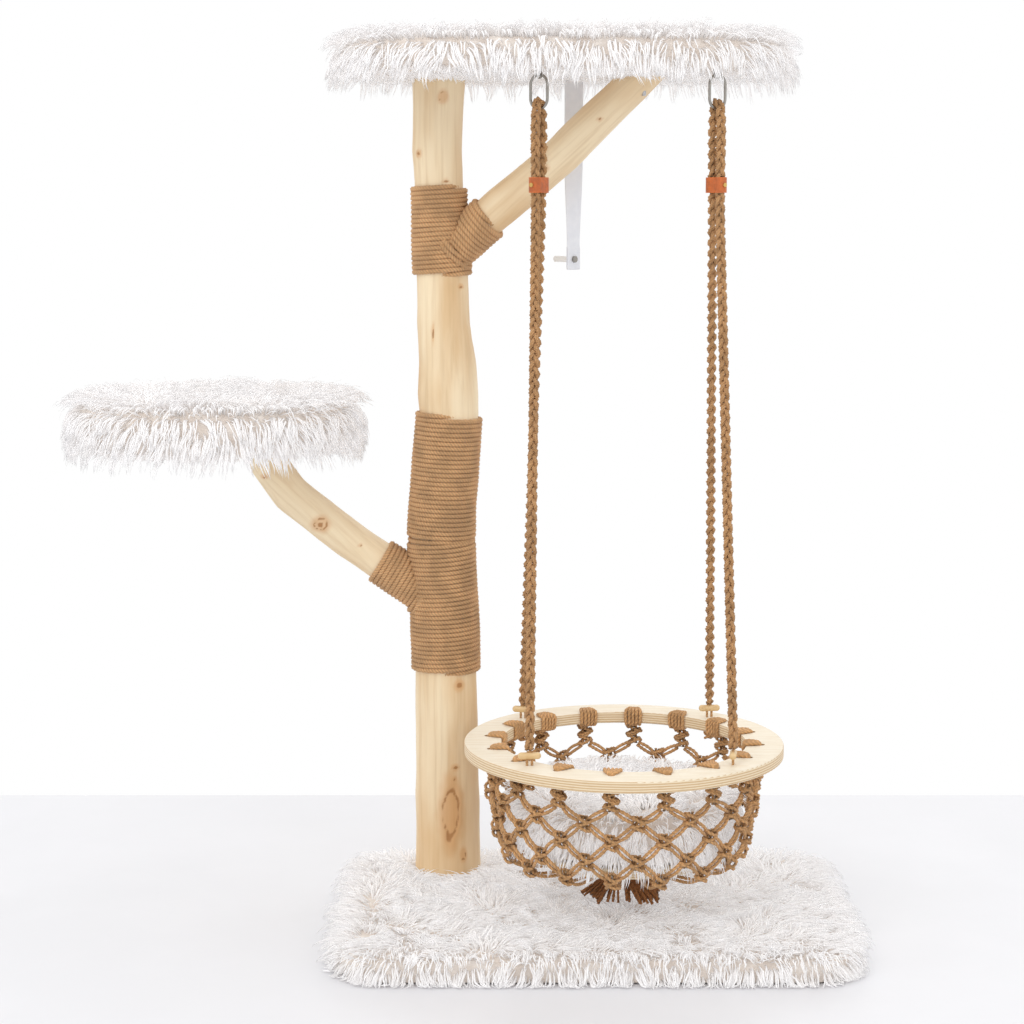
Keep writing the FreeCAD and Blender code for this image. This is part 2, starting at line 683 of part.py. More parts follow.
def anchor_strap(screw_shank):
    """Webbing with a sewn loop at the top and a doubled tab, turned to the wall, at the bottom."""
    loop = cylinder("strap_loop", "dims.strap_eye_radius", "dims.strap_width",
                    "dims.strap_x - dims.strap_width / 2", "dims.strap_y", "dims.strap_pin_z",
                    along(Vector(1, 0, 0)))
    bore = cylinder("strap_bore", "dims.strap_eye_radius - dims.strap_thickness", "dims.strap_width",
                    "dims.strap_x - dims.strap_width / 2", "dims.strap_y", "dims.strap_pin_z",
                    along(Vector(1, 0, 0)))
    run = block("strap_run", "dims.strap_width", "dims.strap_thickness",
                "dims.strap_pin_z - dims.strap_eye_radius + dims.strap_seam - dims.strap_bottom_z",
                "dims.strap_x - dims.strap_width / 2", "dims.strap_y - dims.strap_thickness / 2",
                "dims.strap_bottom_z")
    wide, back = strap_frame()
    half_w, half_t = "dims.strap_tab_width / 2", "dims.strap_tab_thickness / 2"
    tab = block("strap_tab", "dims.strap_tab_width", "dims.strap_tab_thickness",
                "dims.strap_tab_height",
                f"dims.strap_x - {half_w} * {wide.x} - {half_t} * {back.x}",
                f"dims.strap_y - {half_w} * {wide.y} - {half_t} * {back.y}",
                "dims.strap_bottom_z - dims.strap_tab_height + dims.strap_tab_lap",
                about_z(dim("strap_yaw")))
    return cut("strap", fuse("strap_blank", [loop, run, tab]), bore, screw_shank)


def anchor_hardware():
    """The wall screw through the strap's tab, and the plastic plug on its point."""
    _, back = strap_frame()
    z = "dims.strap_bottom_z - dims.strap_tab_height / 2"

    def at(distance):
        return (f"dims.strap_x + ({distance}) * {back.x}", f"dims.strap_y + ({distance}) * {back.y}", z)

    front = "-dims.strap_tab_thickness / 2"
    shank = cylinder("anchor_shank", "dims.anchor_screw_radius", "dims.anchor_screw_length",
                     *at(front), along(back))
    head = cylinder("anchor_head", "dims.anchor_head_radius", "dims.anchor_head_height",
                    *at(f"{front} - dims.anchor_head_height"), along(back))
    screw_whole = fuse("anchor_screw_whole", [shank, head])
    plug = cylinder("plug_blank", "dims.plug_radius", "dims.plug_length",
                    *at("dims.strap_tab_thickness / 2 + dims.plug_gap"), along(back))
    return screw_whole, cut("plug", plug, shank), shank


# ---------------------------------------------------------------- the whole assembly

def logs_and_wraps(studs, base_screws, side_screws, top_screws):
    """Trunk, branches and the rope wraps, each coped to the pieces it meets."""
    growth = "dims.wrap_thickness"
    lower = trunk_loft("lower_log", range(1, TRUNK_JOINT + 1))
    upper = trunk_loft("upper_log", range(TRUNK_JOINT, len(TRUNK) + 1))
    low_branch = branch_loft("low_branch_log", "lowbranch", len(LOWER_BRANCH))
    top_branch = branch_loft("top_branch_log", "topbranch", len(UPPER_BRANCH))
    lower_sleeve = trunk_loft("lower_sleeve", LOWER_WRAP, growth)
    upper_sleeve = trunk_loft("upper_sleeve", UPPER_WRAP, growth)
    low_branch_sleeve = branch_loft("low_branch_sleeve", "lowbranch", 2, growth)
    top_branch_sleeve = branch_loft("top_branch_sleeve", "topbranch", 2, growth)
    wide, half_wide, high = "dims.cope_width", "dims.cope_width / 2", "dims.cope_height"
    over_side_shelf = block("over_side_shelf", wide, wide, high,
                            f"dims.lowbranch_x_6 - {half_wide}", f"dims.trunk_depth - {half_wide}",
                            "dims.side_shelf_z")
    over_top_shelf = block("over_top_shelf", wide, wide, high,
                           f"dims.topbranch_x_5 - {half_wide}", f"dims.topbranch_y_5 - {half_wide}",
                           "dims.top_shelf_z")
    trunk_stud, low_stud, top_stud = studs
    return {
        "lower_trunk": cut("lower_trunk", lower, trunk_stud, low_stud, base_screws),
        "upper_trunk": cut("upper_trunk", upper, trunk_stud, top_stud, top_screws),
        "lower_branch": cut("lower_branch", low_branch, lower, over_side_shelf, low_stud, side_screws),
        "upper_branch": cut("upper_branch", top_branch, upper, over_top_shelf, top_stud, top_screws),
        "lower_trunk_wrap": cut("lower_trunk_wrap", lower_sleeve, lower, upper, low_branch),
        "upper_trunk_wrap": cut("upper_trunk_wrap", upper_sleeve, upper, top_branch),
        "lower_branch_wrap": cut("lower_branch_wrap", low_branch_sleeve, low_branch, lower_sleeve,
                                 lower),
        "upper_branch_wrap": cut("upper_branch_wrap", top_branch_sleeve, top_branch, upper_sleeve,
                                 upper),
    }


def static_tree(shelf_fittings):
    """Everything that stands still: base, trunk, branches and shelves."""
    board_z = "dims.underlay_thickness"
    thickness = "dims.board_thickness"
    spread = "dims.screw_spread"
    joint = f"dims.trunk_height_{TRUNK_JOINT}"
    studs = (
        cylinder("trunk_stud", "dims.stud_radius", "2 * dims.stud_reach",
                 f"dims.trunk_shift_{TRUNK_JOINT}", "dims.trunk_depth", f"{joint} - dims.stud_reach"),
        branch_stud("lower_branch_stud", "lowbranch"),
        branch_stud("upper_branch_stud", "topbranch"),
    )
    base_screws = screw_group("base_screws", [
        (f"dims.trunk_shift_1 + {a} * {spread}", f"dims.trunk_depth + {b} * {spread}")
        for a in (-1, 1) for b in (-1, 1)], board_z, "dims.base_screw_length", True)
    top_z = f"dims.top_shelf_z + {thickness}"
    top_screws = screw_group("top_shelf_screws", [
        (f"dims.trunk_shift_17 - {spread}", "dims.trunk_depth"),
        (f"dims.trunk_shift_17 + {spread}", "dims.trunk_depth"),
        ("dims.topbranch_x_5 - dims.top_screw_inset", "dims.topbranch_y_5 - dims.top_screw_spread"),
        ("dims.topbranch_x_5 - dims.top_screw_inset", "dims.topbranch_y_5 + dims.top_screw_spread"),
    ], top_z, "dims.shelf_screw_length", False)
    side_z = f"dims.side_shelf_z + {thickness}"
    side_screws = screw_group("side_shelf_screws", [
        ("dims.lowbranch_x_6 + dims.side_screw_near", "dims.trunk_depth - dims.side_screw_spread"),
        ("dims.lowbranch_x_6 + dims.side_screw_near", "dims.trunk_depth + dims.side_screw_spread"),
        ("dims.lowbranch_x_6 + dims.side_screw_far", "dims.trunk_depth"),
    ], side_z, "dims.shelf_screw_length", False)
    base_size = ("dims.base_length", "dims.base_width", "dims.base_corner")
    top_size = ("dims.top_shelf_length", "dims.top_shelf_width", "dims.top_shelf_corner")
    top_at = ("dims.top_shelf_x", "dims.top_shelf_y")
    side_at = ("dims.side_shelf_x", "dims.trunk_depth")
    inset = "2 * dims.underlay_inset"
    logs = logs_and_wraps(studs, base_screws, side_screws, top_screws)
    base_blank = board("base_blank", *base_size, thickness, z=board_z)
    top_blank = board("top_blank", *top_size, thickness, *top_at, "dims.top_shelf_z")
    side_blank = disc("side_blank", "dims.side_shelf_radius", thickness, None, *side_at,
                      "dims.side_shelf_z")
    base_plush = board_cover(
        "base_plush", *base_size, "dims.base_plush_margin",
        f"({board_z} - dims.base_plush_bottom)",
        f"(dims.base_plush_top - {board_z} - {thickness})", "0", "0", board_z)
    return {
        "base_underlay": board("base_felt", f"dims.base_length - {inset}", f"dims.base_width - {inset}",
                               "dims.base_corner - dims.underlay_inset", board_z),
        "base_board": cut("base_board", base_blank, base_screws),
        "base_cover": cut("base_cover", base_plush, doc.getObject("lower_log")),
        "base_screws": base_screws,
        **logs,
        "trunk_stud": studs[0],
        "lower_branch_stud": studs[1],
        "upper_branch_stud": studs[2],
        "side_shelf_board": cut("side_shelf_board", side_blank, side_screws),
        "side_shelf_cover": disc_cover("side_plush", "dims.side_shelf_radius", "dims.side_plush_margin",
                                       "dims.side_plush_drop", "dims.side_plush_rise", *side_at,
                                       "dims.side_shelf_z"),
        "side_shelf_screws": side_screws,
        "top_shelf_board": cut("top_shelf_board", top_blank, top_screws, *shelf_fittings),
        "top_shelf_cover": board_cover("top_plush", *top_size, "dims.top_plush_margin",
                                       "dims.top_plush_drop", "dims.top_plush_rise", *top_at,
                                       "dims.top_shelf_z"),
        "top_shelf_screws": top_screws,
    }


def basket():
    """The rim, net, floor, cushion and their cords, and the toggles on the rim."""
    ties = toggle_ties()
    ring = cut("rim", rim_ring(), ties)
    return {
        "basket_rim": ring,
        "rim_lashings": cut("lashings", lashings(), ring),
        "toggles": cut("toggles_bored", toggle_bars(), ties),
        "toggle_ties": ties,
        "basket_net": net_bowl(),
        "basket_floor": disc("floor_disc", "dims.floor_disc_radius", "dims.floor_disc_thickness",
                             "dims.floor_disc_edge", *BASKET_AT, "dims.net_floor_z"),
        "basket_cushion": disc("cushion", "dims.cushion_radius",
                               "dims.cushion_top_z - dims.net_floor_z - dims.floor_disc_thickness",
                               "dims.cushion_edge", *BASKET_AT,
                               "dims.net_floor_z + dims.floor_disc_thickness"),
        "gather_knot": cylinder("gather", "dims.gather_radius", "dims.net_height_1 - dims.gather_bottom_z",
                                *BASKET_AT, "dims.gather_bottom_z"),
        "tassel": cone("tassel_skirt", "dims.tassel_radius", "dims.tassel_neck",
                       "dims.gather_bottom_z - dims.tassel_bottom_z", *BASKET_AT, "dims.tassel_bottom_z"),
    }


def assembly():
    """Every sub-part by node name."""
    nodes = {}
    eyes = {}
    for side, sign in (("left", -1), ("right", 1)):
        eyes[side] = screw_eye(side, sign)
        nodes[f"{side}_screw_eye"] = eyes[side]
        nodes[f"{side}_hanger_ring"] = hanger_ring(side, sign)
        nodes[f"{side}_rope"] = rope(side, sign)
        nodes[f"{side}_leather_band"], nodes[f"{side}_band_rivet"] = leather_band(side, sign)
    saddle = strap_saddle()
    nodes.update(static_tree([eyes["left"], eyes["right"], saddle]))
    nodes.update(basket())
    screw_whole, plug, shank = anchor_hardware()
    nodes.update({"strap_saddle": saddle, "anchor_strap": anchor_strap(shank),
                  "anchor_screw": screw_whole, "wall_plug": plug})
    return nodes


def check_document():
    """Stop on any failed feature."""
    failed = [obj.Name for obj in doc.Objects if set(obj.State) & {"Invalid", "Error"}]
    if failed:
        raise RuntimeError(f"failed features: {failed}")


def export(nodes):
    """Label, check and write every sub-part."""
    os.makedirs("parts", exist_ok=True)
    for name, obj in nodes.items():
        obj.Label = name
        shape = obj.Shape
        if shape.isNull() or not shape.isValid() or not shape.Solids:
            raise RuntimeError(f"{name} has no valid solid")
        shape.exportStep(f"parts/{name}.step")
        print(f"{name}: {len(shape.Solids)} solids, {shape.Volume / 1000:.1f} cm3")


parts = assembly()
doc.recompute()
check_document()
export(parts)
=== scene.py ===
"""A pet tree with two plush perches, peeled log posts and a hanging net basket.

Everything is in metres, in the frame of the packed model. Each operator makes one piece or one
group of like pieces round that frame, and the panel lists them in the order they are made.
"""

import math
from functools import lru_cache

import bmesh
import bpy
import numpy as np
from bpy.props import FloatProperty, FloatVectorProperty, IntProperty, PointerProperty
from mathutils import Matrix, Vector
from mathutils.bvhtree import BVHTree
from mathutils.kdtree import KDTree


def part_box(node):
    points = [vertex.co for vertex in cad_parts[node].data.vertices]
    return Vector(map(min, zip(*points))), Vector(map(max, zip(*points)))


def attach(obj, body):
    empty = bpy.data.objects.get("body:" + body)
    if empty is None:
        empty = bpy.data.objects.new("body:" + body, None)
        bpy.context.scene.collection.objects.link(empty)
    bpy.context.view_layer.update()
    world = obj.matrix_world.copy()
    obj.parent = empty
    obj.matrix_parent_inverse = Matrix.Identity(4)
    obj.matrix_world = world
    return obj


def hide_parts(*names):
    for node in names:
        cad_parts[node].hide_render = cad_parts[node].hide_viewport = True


bl_info = {
    "name": "Pet Tree",
    "version": (1, 0, 0),
    "blender": (4, 5, 0),
    "location": "View3D > Sidebar > Pet Tree",
    "description": "Builds a pet tree with plush perches, log posts and a hanging basket",
    "category": "Object",
}

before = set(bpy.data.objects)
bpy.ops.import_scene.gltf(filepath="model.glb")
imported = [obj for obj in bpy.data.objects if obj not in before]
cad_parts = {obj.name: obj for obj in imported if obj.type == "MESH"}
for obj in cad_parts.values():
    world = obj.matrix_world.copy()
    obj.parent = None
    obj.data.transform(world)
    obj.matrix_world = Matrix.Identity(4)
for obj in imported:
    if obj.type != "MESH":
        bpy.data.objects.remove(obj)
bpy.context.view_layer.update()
MM = 0.001
UP = np.array((0.0, 0.0, 1.0))


# ---------------------------------------------------------------- shader maths

class Wire:
    """A node's output. Arithmetic on it adds Math nodes to the same material."""

    def __init__(self, finish, socket):
        self.finish = finish
        self.socket = socket

    def _math(self, operation, first, second):
        return self.finish.node("ShaderNodeMath", {"operation": operation}, {0: first, 1: second})

    def __add__(self, other):
        return self._math("ADD", self, other)

    def __sub__(self, other):
        return self._math("SUBTRACT", self, other)

    def __mul__(self, other):
        return self._math("MULTIPLY", self, other)

    def __truediv__(self, other):
        return self._math("DIVIDE", self, other)

    def __pow__(self, other):
        return self._math("POWER", self, other)

    def __radd__(self, other):
        return self._math("ADD", other, self)

    def __rsub__(self, other):
        return self._math("SUBTRACT", other, self)

    def __rmul__(self, other):
        return self._math("MULTIPLY", other, self)

    def __rtruediv__(self, other):
        return self._math("DIVIDE", other, self)


class Finish:
    """A material with a Principled shader, built from expressions on wires."""

    def __init__(self, name, roughness=0.5, **constants):
        self.material = bpy.data.materials.new(name)
        self.material.use_nodes = True
        self.tree = self.material.node_tree
        self.shader = self.tree.nodes["Principled BSDF"]
        self.shader.inputs["Roughness"].default_value = roughness
        for socket, value in constants.items():
            self.shader.inputs[socket.replace("_", " ").title()].default_value = value

    def node(self, kind, settings=None, sockets=None, output=0):
        """Adds a node: its settings first, then the values or wires of its sockets."""
        made = self.tree.nodes.new(kind)
        for setting, value in (settings or {}).items():
            if setting == "stops":
                self.set_stops(made.color_ramp, value)
            else:
                setattr(made, setting, value)
        for socket, value in (sockets or {}).items():
            self.plug(made.inputs[socket], value)
        return Wire(self, made.outputs[output])

    def plug(self, socket, value):
        """Sets a socket to a constant, or links a wire to it."""
        if isinstance(value, Wire):
            self.tree.links.new(value.socket, socket)
        else:
            socket.default_value = value

    @staticmethod
    def set_stops(ramp, stops):
        """Gives a colour ramp its (place, colour) stops."""
        while len(ramp.elements) < len(stops):
            ramp.elements.new(1.0)
        for element, (place, colour) in zip(ramp.elements, stops):
            element.position = place
            element.color = colour

    def place(self):
        """Object coordinates."""
        return self.node("ShaderNodeTexCoord", output="Object")

    def shift(self, vector, scale=(1, 1, 1), turn=(0, 0, 0), move=(0, 0, 0)):
        """A vector moved, turned and scaled."""
        return self.node("ShaderNodeMapping", sockets={
            "Vector": vector, "Scale": scale, "Rotation": turn, "Location": move})

    def axes(self, vector):
        """The three parts of a vector."""
        parts = self.node("ShaderNodeSeparateXYZ", sockets={0: vector})
        outputs = parts.socket.node.outputs
        return [Wire(self, outputs[axis]) for axis in range(3)]

    def noise(self, vector, scale, detail=3.0, rough=0.55):
        """Soft noise from 0 to 1."""
        return self.node("ShaderNodeTexNoise", sockets={
            "Vector": vector, "Scale": scale, "Detail": detail, "Roughness": rough})

    def step(self, value, low, high):
        """0 below low, 1 above high, smooth between."""
        return self.node("ShaderNodeMapRange", {"interpolation_type": "SMOOTHSTEP"}, {
            "Value": value, "From Min": low, "From Max": high})

    def sine(self, value):
        """The sine of a wire."""
        return self.node("ShaderNodeMath", {"operation": "SINE"}, {0: value})

    def mix(self, share, first, second):
        """One colour passing into another."""
        return self.node("ShaderNodeMix", {"data_type": "RGBA"}, {0: share, 6: first, 7: second},
                         output=2)

    def attribute(self, name, output="Fac"):
        """A value stored on the mesh's points."""
        return self.node("ShaderNodeAttribute", {"attribute_name": name}, output=output)

    def colour(self, value):
        """Feeds the base colour."""
        self.plug(self.shader.inputs["Base Color"], value)
        return self

    def rough(self, value):
        """Feeds the roughness."""
        self.plug(self.shader.inputs["Roughness"], value)
        return self

    def bump(self, height, depth, strength=1.0):
        """Feeds a Bump node from a height between 0 and 1, depth metres deep."""
        bump = self.node("ShaderNodeBump", sockets={
            "Height": height, "Distance": depth, "Strength": strength})
        self.plug(self.shader.inputs["Normal"], bump)
        return self


def tint(red, green, blue):
    """A colour as it looks on a screen, 0 to 255, as the linear colour a shader takes."""
    shares = [value / 255 for value in (red, green, blue)]
    linear = [s / 12.92 if s < 0.04045 else ((s + 0.055) / 1.055) ** 2.4 for s in shares]
    return (*linear, 1.0)


def shade(colour, factor):
    """A colour made lighter or darker."""
    return (*[min(1.0, part * factor) for part in colour[:3]], 1.0)


# ---------------------------------------------------------------- mesh tools

class Template:
    """A bmesh shape read into arrays, to be bent and repeated."""

    def __init__(self, shape):
        shape.verts.index_update()
        self.points = np.array([point.co for point in shape.verts])
        self.totals = np.array([len(face.verts) for face in shape.faces])
        self.loops = np.array([point.index for face in shape.faces for point in face.verts])
        shape.free()


class Stack:
    """Bent copies of templates, gathered into one mesh."""

    def __init__(self):
        self.parts = []

    def add(self, template, points, **values):
        """Adds copies of a template. points is (copies, points, 3) or (points, 3)."""
        points = np.reshape(points, (-1, len(template.points), 3))
        self.parts.append((template, points, values))

    def mesh(self, name):
        """The mesh, smooth, with the values as attributes on its points."""
        mesh = bpy.data.meshes.new(name)
        loops, totals, offset = [], [], 0
        for template, points, _ in self.parts:
            starts = offset + np.arange(len(points)) * len(template.points)
            loops.append((template.loops[None, :] + starts[:, None]).ravel())
            totals.append(np.tile(template.totals, len(points)))
            offset += points.shape[0] * points.shape[1]
        loops, totals = np.concatenate(loops), np.concatenate(totals)
        mesh.vertices.add(offset)
        mesh.vertices.foreach_set("co", np.concatenate([p.ravel() for _, p, _ in self.parts]))
        mesh.loops.add(len(loops))
        mesh.loops.foreach_set("vertex_index", loops.astype(np.int32))
        mesh.polygons.add(len(totals))
        ends = np.cumsum(totals)
        mesh.polygons.foreach_set("loop_start", (ends - totals).astype(np.int32))
        mesh.update(calc_edges=True)
        for key in self.parts[0][2]:
            joined = np.concatenate([np.asarray(v[key], float).ravel() for _, _, v in self.parts])
            if len(joined) == 3 * offset:
                mesh.attributes.new(key, "FLOAT_VECTOR", "POINT").data.foreach_set("vector", joined)
            else:
                mesh.attributes.new(key, "FLOAT", "POINT").data.foreach_set("value", joined)
        mesh.polygons.foreach_set("use_smooth", np.ones(len(totals), bool))
        return mesh


def piece(name, mesh, material, body):
    """Puts a mesh in the scene as a piece that rides on a body."""
    made = bpy.data.objects.new(name, mesh)
    bpy.context.scene.collection.objects.link(made)
    made.data.materials.clear()
    made.data.materials.append(material)
    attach(made, body)
    return made


def shape_mesh(name, shape, smooth=True):
    """A mesh from a bmesh, with its faces turned outwards."""
    bmesh.ops.recalc_face_normals(shape, faces=shape.faces[:])
    mesh = bpy.data.meshes.new(name)
    shape.to_mesh(mesh)
    shape.free()
    mesh.polygons.foreach_set("use_smooth", [smooth] * len(mesh.polygons))
    return mesh


def smoothstep(value, low, high):
    """0 below low, 1 above high, smooth between."""
    share = np.clip((value - low) / (high - low), 0, 1)
    return share * share * (3 - 2 * share)


def unit(vectors):
    """Vectors made one long."""
    return vectors / np.maximum(np.linalg.norm(vectors, axis=-1, keepdims=True), 1e-9)


def ripple(points, scale, seed):
    """Smooth noise of about -1 to 1 at each point, with swells about scale long."""
    draw = np.random.default_rng(seed)
    waves = unit(draw.normal(size=(7, 3))) * draw.uniform(0.6, 1.5, (7, 1)) * 2 * math.pi / scale
    phases = draw.uniform(0, 2 * math.pi, 7)
    return np.sin(points @ waves.T + phases).sum(axis=-1) / 3.2


@lru_cache(maxsize=None)
def tube_template(rings, sides):
    """A straight closed tube: z is a point's ring, and x and y its place round the section."""
    shape = bmesh.new()
    bmesh.ops.create_grid(shape, x_segments=sides, y_segments=rings - 1, size=0.5)
    for point in shape.verts:
        angle = (point.co.x + 0.5) * 2 * math.pi
        point.co = (math.cos(angle), math.sin(angle), (point.co.y + 0.5) * (rings - 1))
    bmesh.ops.remove_doubles(shape, verts=shape.verts[:], dist=0.001)
    bmesh.ops.holes_fill(shape, edges=shape.edges[:], sides=sides)
    bmesh.ops.recalc_face_normals(shape, faces=shape.faces[:])
    return Template(shape)


def distances(path):
    """How far along a path each point lies."""
    return np.concatenate([[0], np.cumsum(np.linalg.norm(np.diff(path, axis=0), axis=1))])


def even(path, spacing):
    """A path's points set evenly, about that far apart."""
    path = np.asarray(path, float)
    along = distances(path)
    places = np.linspace(0, along[-1], max(3, int(round(along[-1] / spacing)) + 1))
    return np.stack([np.interp(places, along, path[:, axis]) for axis in range(3)], axis=1)


def curved(points, spacing):
    """An even path on the smooth curve from the first of some points to the last."""
    curve = bpy.data.curves.new("route", "CURVE")
    curve.dimensions = "3D"
    curve.resolution_u = 24
    spline = curve.splines.new("NURBS")
    spline.points.add(len(points) - 1)
    for knot, point in zip(spline.points, points):
        knot.co = (*point, 1)
    spline.order_u = 3
    spline.use_endpoint_u = True
    carrier = bpy.data.objects.new("route", curve)
    line = bpy.data.meshes.new_from_object(carrier)
    path = [tuple(point.co) for point in line.vertices]
    bpy.data.objects.remove(carrier)
    bpy.data.curves.remove(curve)
    bpy.data.meshes.remove(line)
    return even(path, spacing)


def sections(path, across):
    """Two directions square to the path at each point, the first starting near across."""
    forward = unit(np.gradient(path, axis=0))
    side = np.asarray(across, float)
    sides = []
    for ahead in forward:
        side = side - ahead * side.dot(ahead)
        side /= np.linalg.norm(side)
        sides.append(side)
    sides = np.array(sides)
    return sides, np.cross(forward, sides)


def strand(stack, path, radius, sides=9, lobes=3, dip=0.14, pitch=0.018, across=(1, 0, 0.01)):
    """Adds one twisted strand along a path. radius may differ from point to point."""
    template = tube_template(len(path), sides)
    ring = np.rint(template.points[:, 2]).astype(int)
    around = np.arctan2(template.points[:, 1], template.points[:, 0])
    along = distances(path)[ring]
    twist = around + 2 * math.pi * along / pitch
    size = np.broadcast_to(radius, len(path))[ring] * (1 + dip * (np.cos(lobes * around) - 0.5))
    first, second = sections(path, across)
    points = path[ring] + (size * np.cos(twist))[:, None] * first[ring]
    points = points + (size * np.sin(twist))[:, None] * second[ring]
    lay = np.stack([np.cos(around), np.sin(around), along], axis=1)
    stack.add(template, points, lay=lay)


# ---------------------------------------------------------------- sizes and colours to change

class PlushSettings(bpy.types.PropertyGroup):
    """The long white pile on the perches, the base and the cushion."""

    pile: FloatProperty(name="Pile length", description="How long a lock of pile is",
                        default=0.042, subtype="DISTANCE", unit="LENGTH")
    lock: FloatProperty(name="Lock width", description="How wide a lock is at its root",
                        default=0.0024, subtype="DISTANCE", unit="LENGTH")
    spread: IntProperty(name="Locks", description="Locks of pile on a square metre",
                        default=60000)
    clump: FloatProperty(name="Clump", description="How far apart the clumps of locks are",
                         default=0.010, subtype="DISTANCE", unit="LENGTH")
    colour: FloatVectorProperty(name="Pile colour", description="Colour of the pile's tips",
                                default=tint(240, 239, 240), size=4, subtype="COLOR")
    # painted shade: the root colour is darker than the tips, standing for the shade deep in the
    # pile
    root: FloatVectorProperty(name="Root colour", description="Colour deep in the pile",
                              default=tint(232, 229, 228), size=4, subtype="COLOR")
    # painted glow: the pile gives off light in its own colour to lift the shade deep in it,
    # standing in for light scattered through the white hairs
    painted_glow: FloatProperty(name="Glow", description="Light that the white hairs scatter on",
                        default=0.27, subtype="FACTOR")


class LogSettings(bpy.types.PropertyGroup):
    """The peeled logs and the jute rope wound round them."""

    pale: FloatVectorProperty(name="Pale wood", description="Colour of the palest sapwood",
                              default=tint(240, 221, 187), size=4, subtype="COLOR")
    honey: FloatVectorProperty(name="Honey wood", description="Colour of the darker streaks",
                               default=tint(214, 178, 130), size=4, subtype="COLOR")
    scar: FloatVectorProperty(name="Scar", description="Colour of knots and bark scars",
                              default=tint(112, 70, 36), size=4, subtype="COLOR")
    skin: FloatProperty(name="Skin", description="How fine the log's modelled surface is",
                        default=0.0032, subtype="DISTANCE", unit="LENGTH")
    jute: FloatProperty(name="Jute rope", description="Diameter of the wound rope",
                        default=0.006, subtype="DISTANCE", unit="LENGTH")
    jute_colour: FloatVectorProperty(name="Jute", description="Colour of the wound rope",
                                     default=tint(211, 166, 118), size=4, subtype="COLOR")


class RopeSettings(bpy.types.PropertyGroup):
    """The two plaited ropes that carry the basket."""

    diameter: FloatProperty(name="Rope", description="Width of the plaited rope",
                            default=0.0126, subtype="DISTANCE", unit="LENGTH")
    period: FloatProperty(name="Plait", description="Length in which a strand comes round",
                          default=0.040, subtype="DISTANCE", unit="LENGTH")
    colour: FloatVectorProperty(name="Plait colour", description="Colour of the plaited jute",
                                default=tint(203, 155, 105), size=4, subtype="COLOR")
    leather: FloatVectorProperty(name="Leather", description="Colour of the leather bands",
                                 default=tint(188, 94, 34), size=4, subtype="COLOR")


class BasketSettings(bpy.types.PropertyGroup):
    """The knotted net basket."""

    cord: FloatProperty(name="Net cord", description="Diameter of the knotted cord",
                        default=0.0046, subtype="DISTANCE", unit="LENGTH")
    gap: FloatProperty(name="Cord gap", description="How far the two cords of a link bow apart",
                       default=0.0030, subtype="DISTANCE", unit="LENGTH")
    around: IntProperty(name="Lashings", description="Lashings round the rim", default=16)
    first: FloatProperty(name="First lashing", description="Angle of a lashing from the front",
                         default=math.radians(14.75), subtype="ANGLE", unit="ROTATION")
    colour: FloatVectorProperty(name="Cord colour", description="Colour of the knotted cord",
                                default=tint(212, 163, 110), size=4, subtype="COLOR")
    tassel: FloatVectorProperty(name="Tassel colour", description="Colour of the tassel",
                                default=tint(170, 112, 62), size=4, subtype="COLOR")


class StageSettings(bpy.types.PropertyGroup):
    """The camera, the floor and the lights."""

    lens: FloatProperty(name="Lens", description="Focal length on a 36 mm sensor",
                        default=75.4)
    eye: FloatVectorProperty(name="Eye", description="Where the camera stands",
                             default=(-0.102, -2.651, 0.905), size=3, subtype="TRANSLATION")
    pitch: FloatProperty(name="Pitch", description="How far the camera looks down",
                         default=math.radians(7.92), subtype="ANGLE", unit="ROTATION")
    wall: FloatProperty(name="Wall", description="How far back the floor ends at the white wall",
                        default=0.626, subtype="DISTANCE", unit="LENGTH")
    floor: FloatVectorProperty(name="Floor", description="Colour of the floor",
                               default=tint(226, 226, 229), size=4, subtype="COLOR")


SETTINGS = {"tree_plush": PlushSettings, "tree_logs": LogSettings, "tree_ropes": RopeSettings,
            "tree_basket": BasketSettings, "tree_stage": StageSettings}


# ---------------------------------------------------------------- finishes

@lru_cache(maxsize=None)
def peeled_log(name, lean, turn):
    """Peeled sapwood, its grain running along the log, with streaks, knots and small cracks.

    lean is the log's slope from upright, turned about the depth axis. turn is its slope to the
    front.
    """
    look = bpy.context.scene.tree_logs
    finish = Finish(name, roughness=0.55, coat_weight=0.06, coat_roughness=0.4)
    along = finish.shift(finish.place(), turn=(turn, lean, 0))
    grain = finish.noise(finish.shift(along, scale=(1, 1, 0.035)), 150, 5, 0.6)
    streak = finish.noise(finish.shift(along, scale=(1, 1, 0.11)), 24, 4, 0.55)
    cloud = finish.noise(finish.shift(along, scale=(1, 1, 0.45)), 9, 3, 0.5)
    wood = finish.mix(finish.step(cloud * 0.55 + streak * 0.45, 0.40, 0.66), tuple(look.pale),
                      tuple(look.honey))
    wood = finish.mix(finish.step(grain, 0.42, 0.75) * 0.35, wood, shade(look.honey, 0.80))
    height = finish.axes(finish.place())[2]
    wood = finish.mix(finish.step(0.30 - height, 0, 0.32) * 0.34, wood, tint(222, 176, 118))
    crack = finish.noise(finish.shift(along, scale=(1, 1, 0.028)), 62, 2, 0.4)
    crack = finish.step(crack, 0.70, 0.735) * finish.step(cloud, 0.48, 0.60)
    wood = finish.mix(crack * 0.55, wood, shade(look.scar, 1.5))
    fleck = finish.attribute("scar")
    wood = finish.mix(finish.step(fleck, 0.25, 0.9) * 0.88, wood, tuple(look.scar))
    blush = finish.attribute("blush")
    wood = finish.mix(blush * 0.5, wood, tint(206, 146, 84))
    finish.colour(wood)
    finish.rough(0.50 + grain * 0.22)
    finish.bump(grain * 0.6 + streak * 0.4 - crack * 0.6, 0.0009, 0.5)
    return finish.material


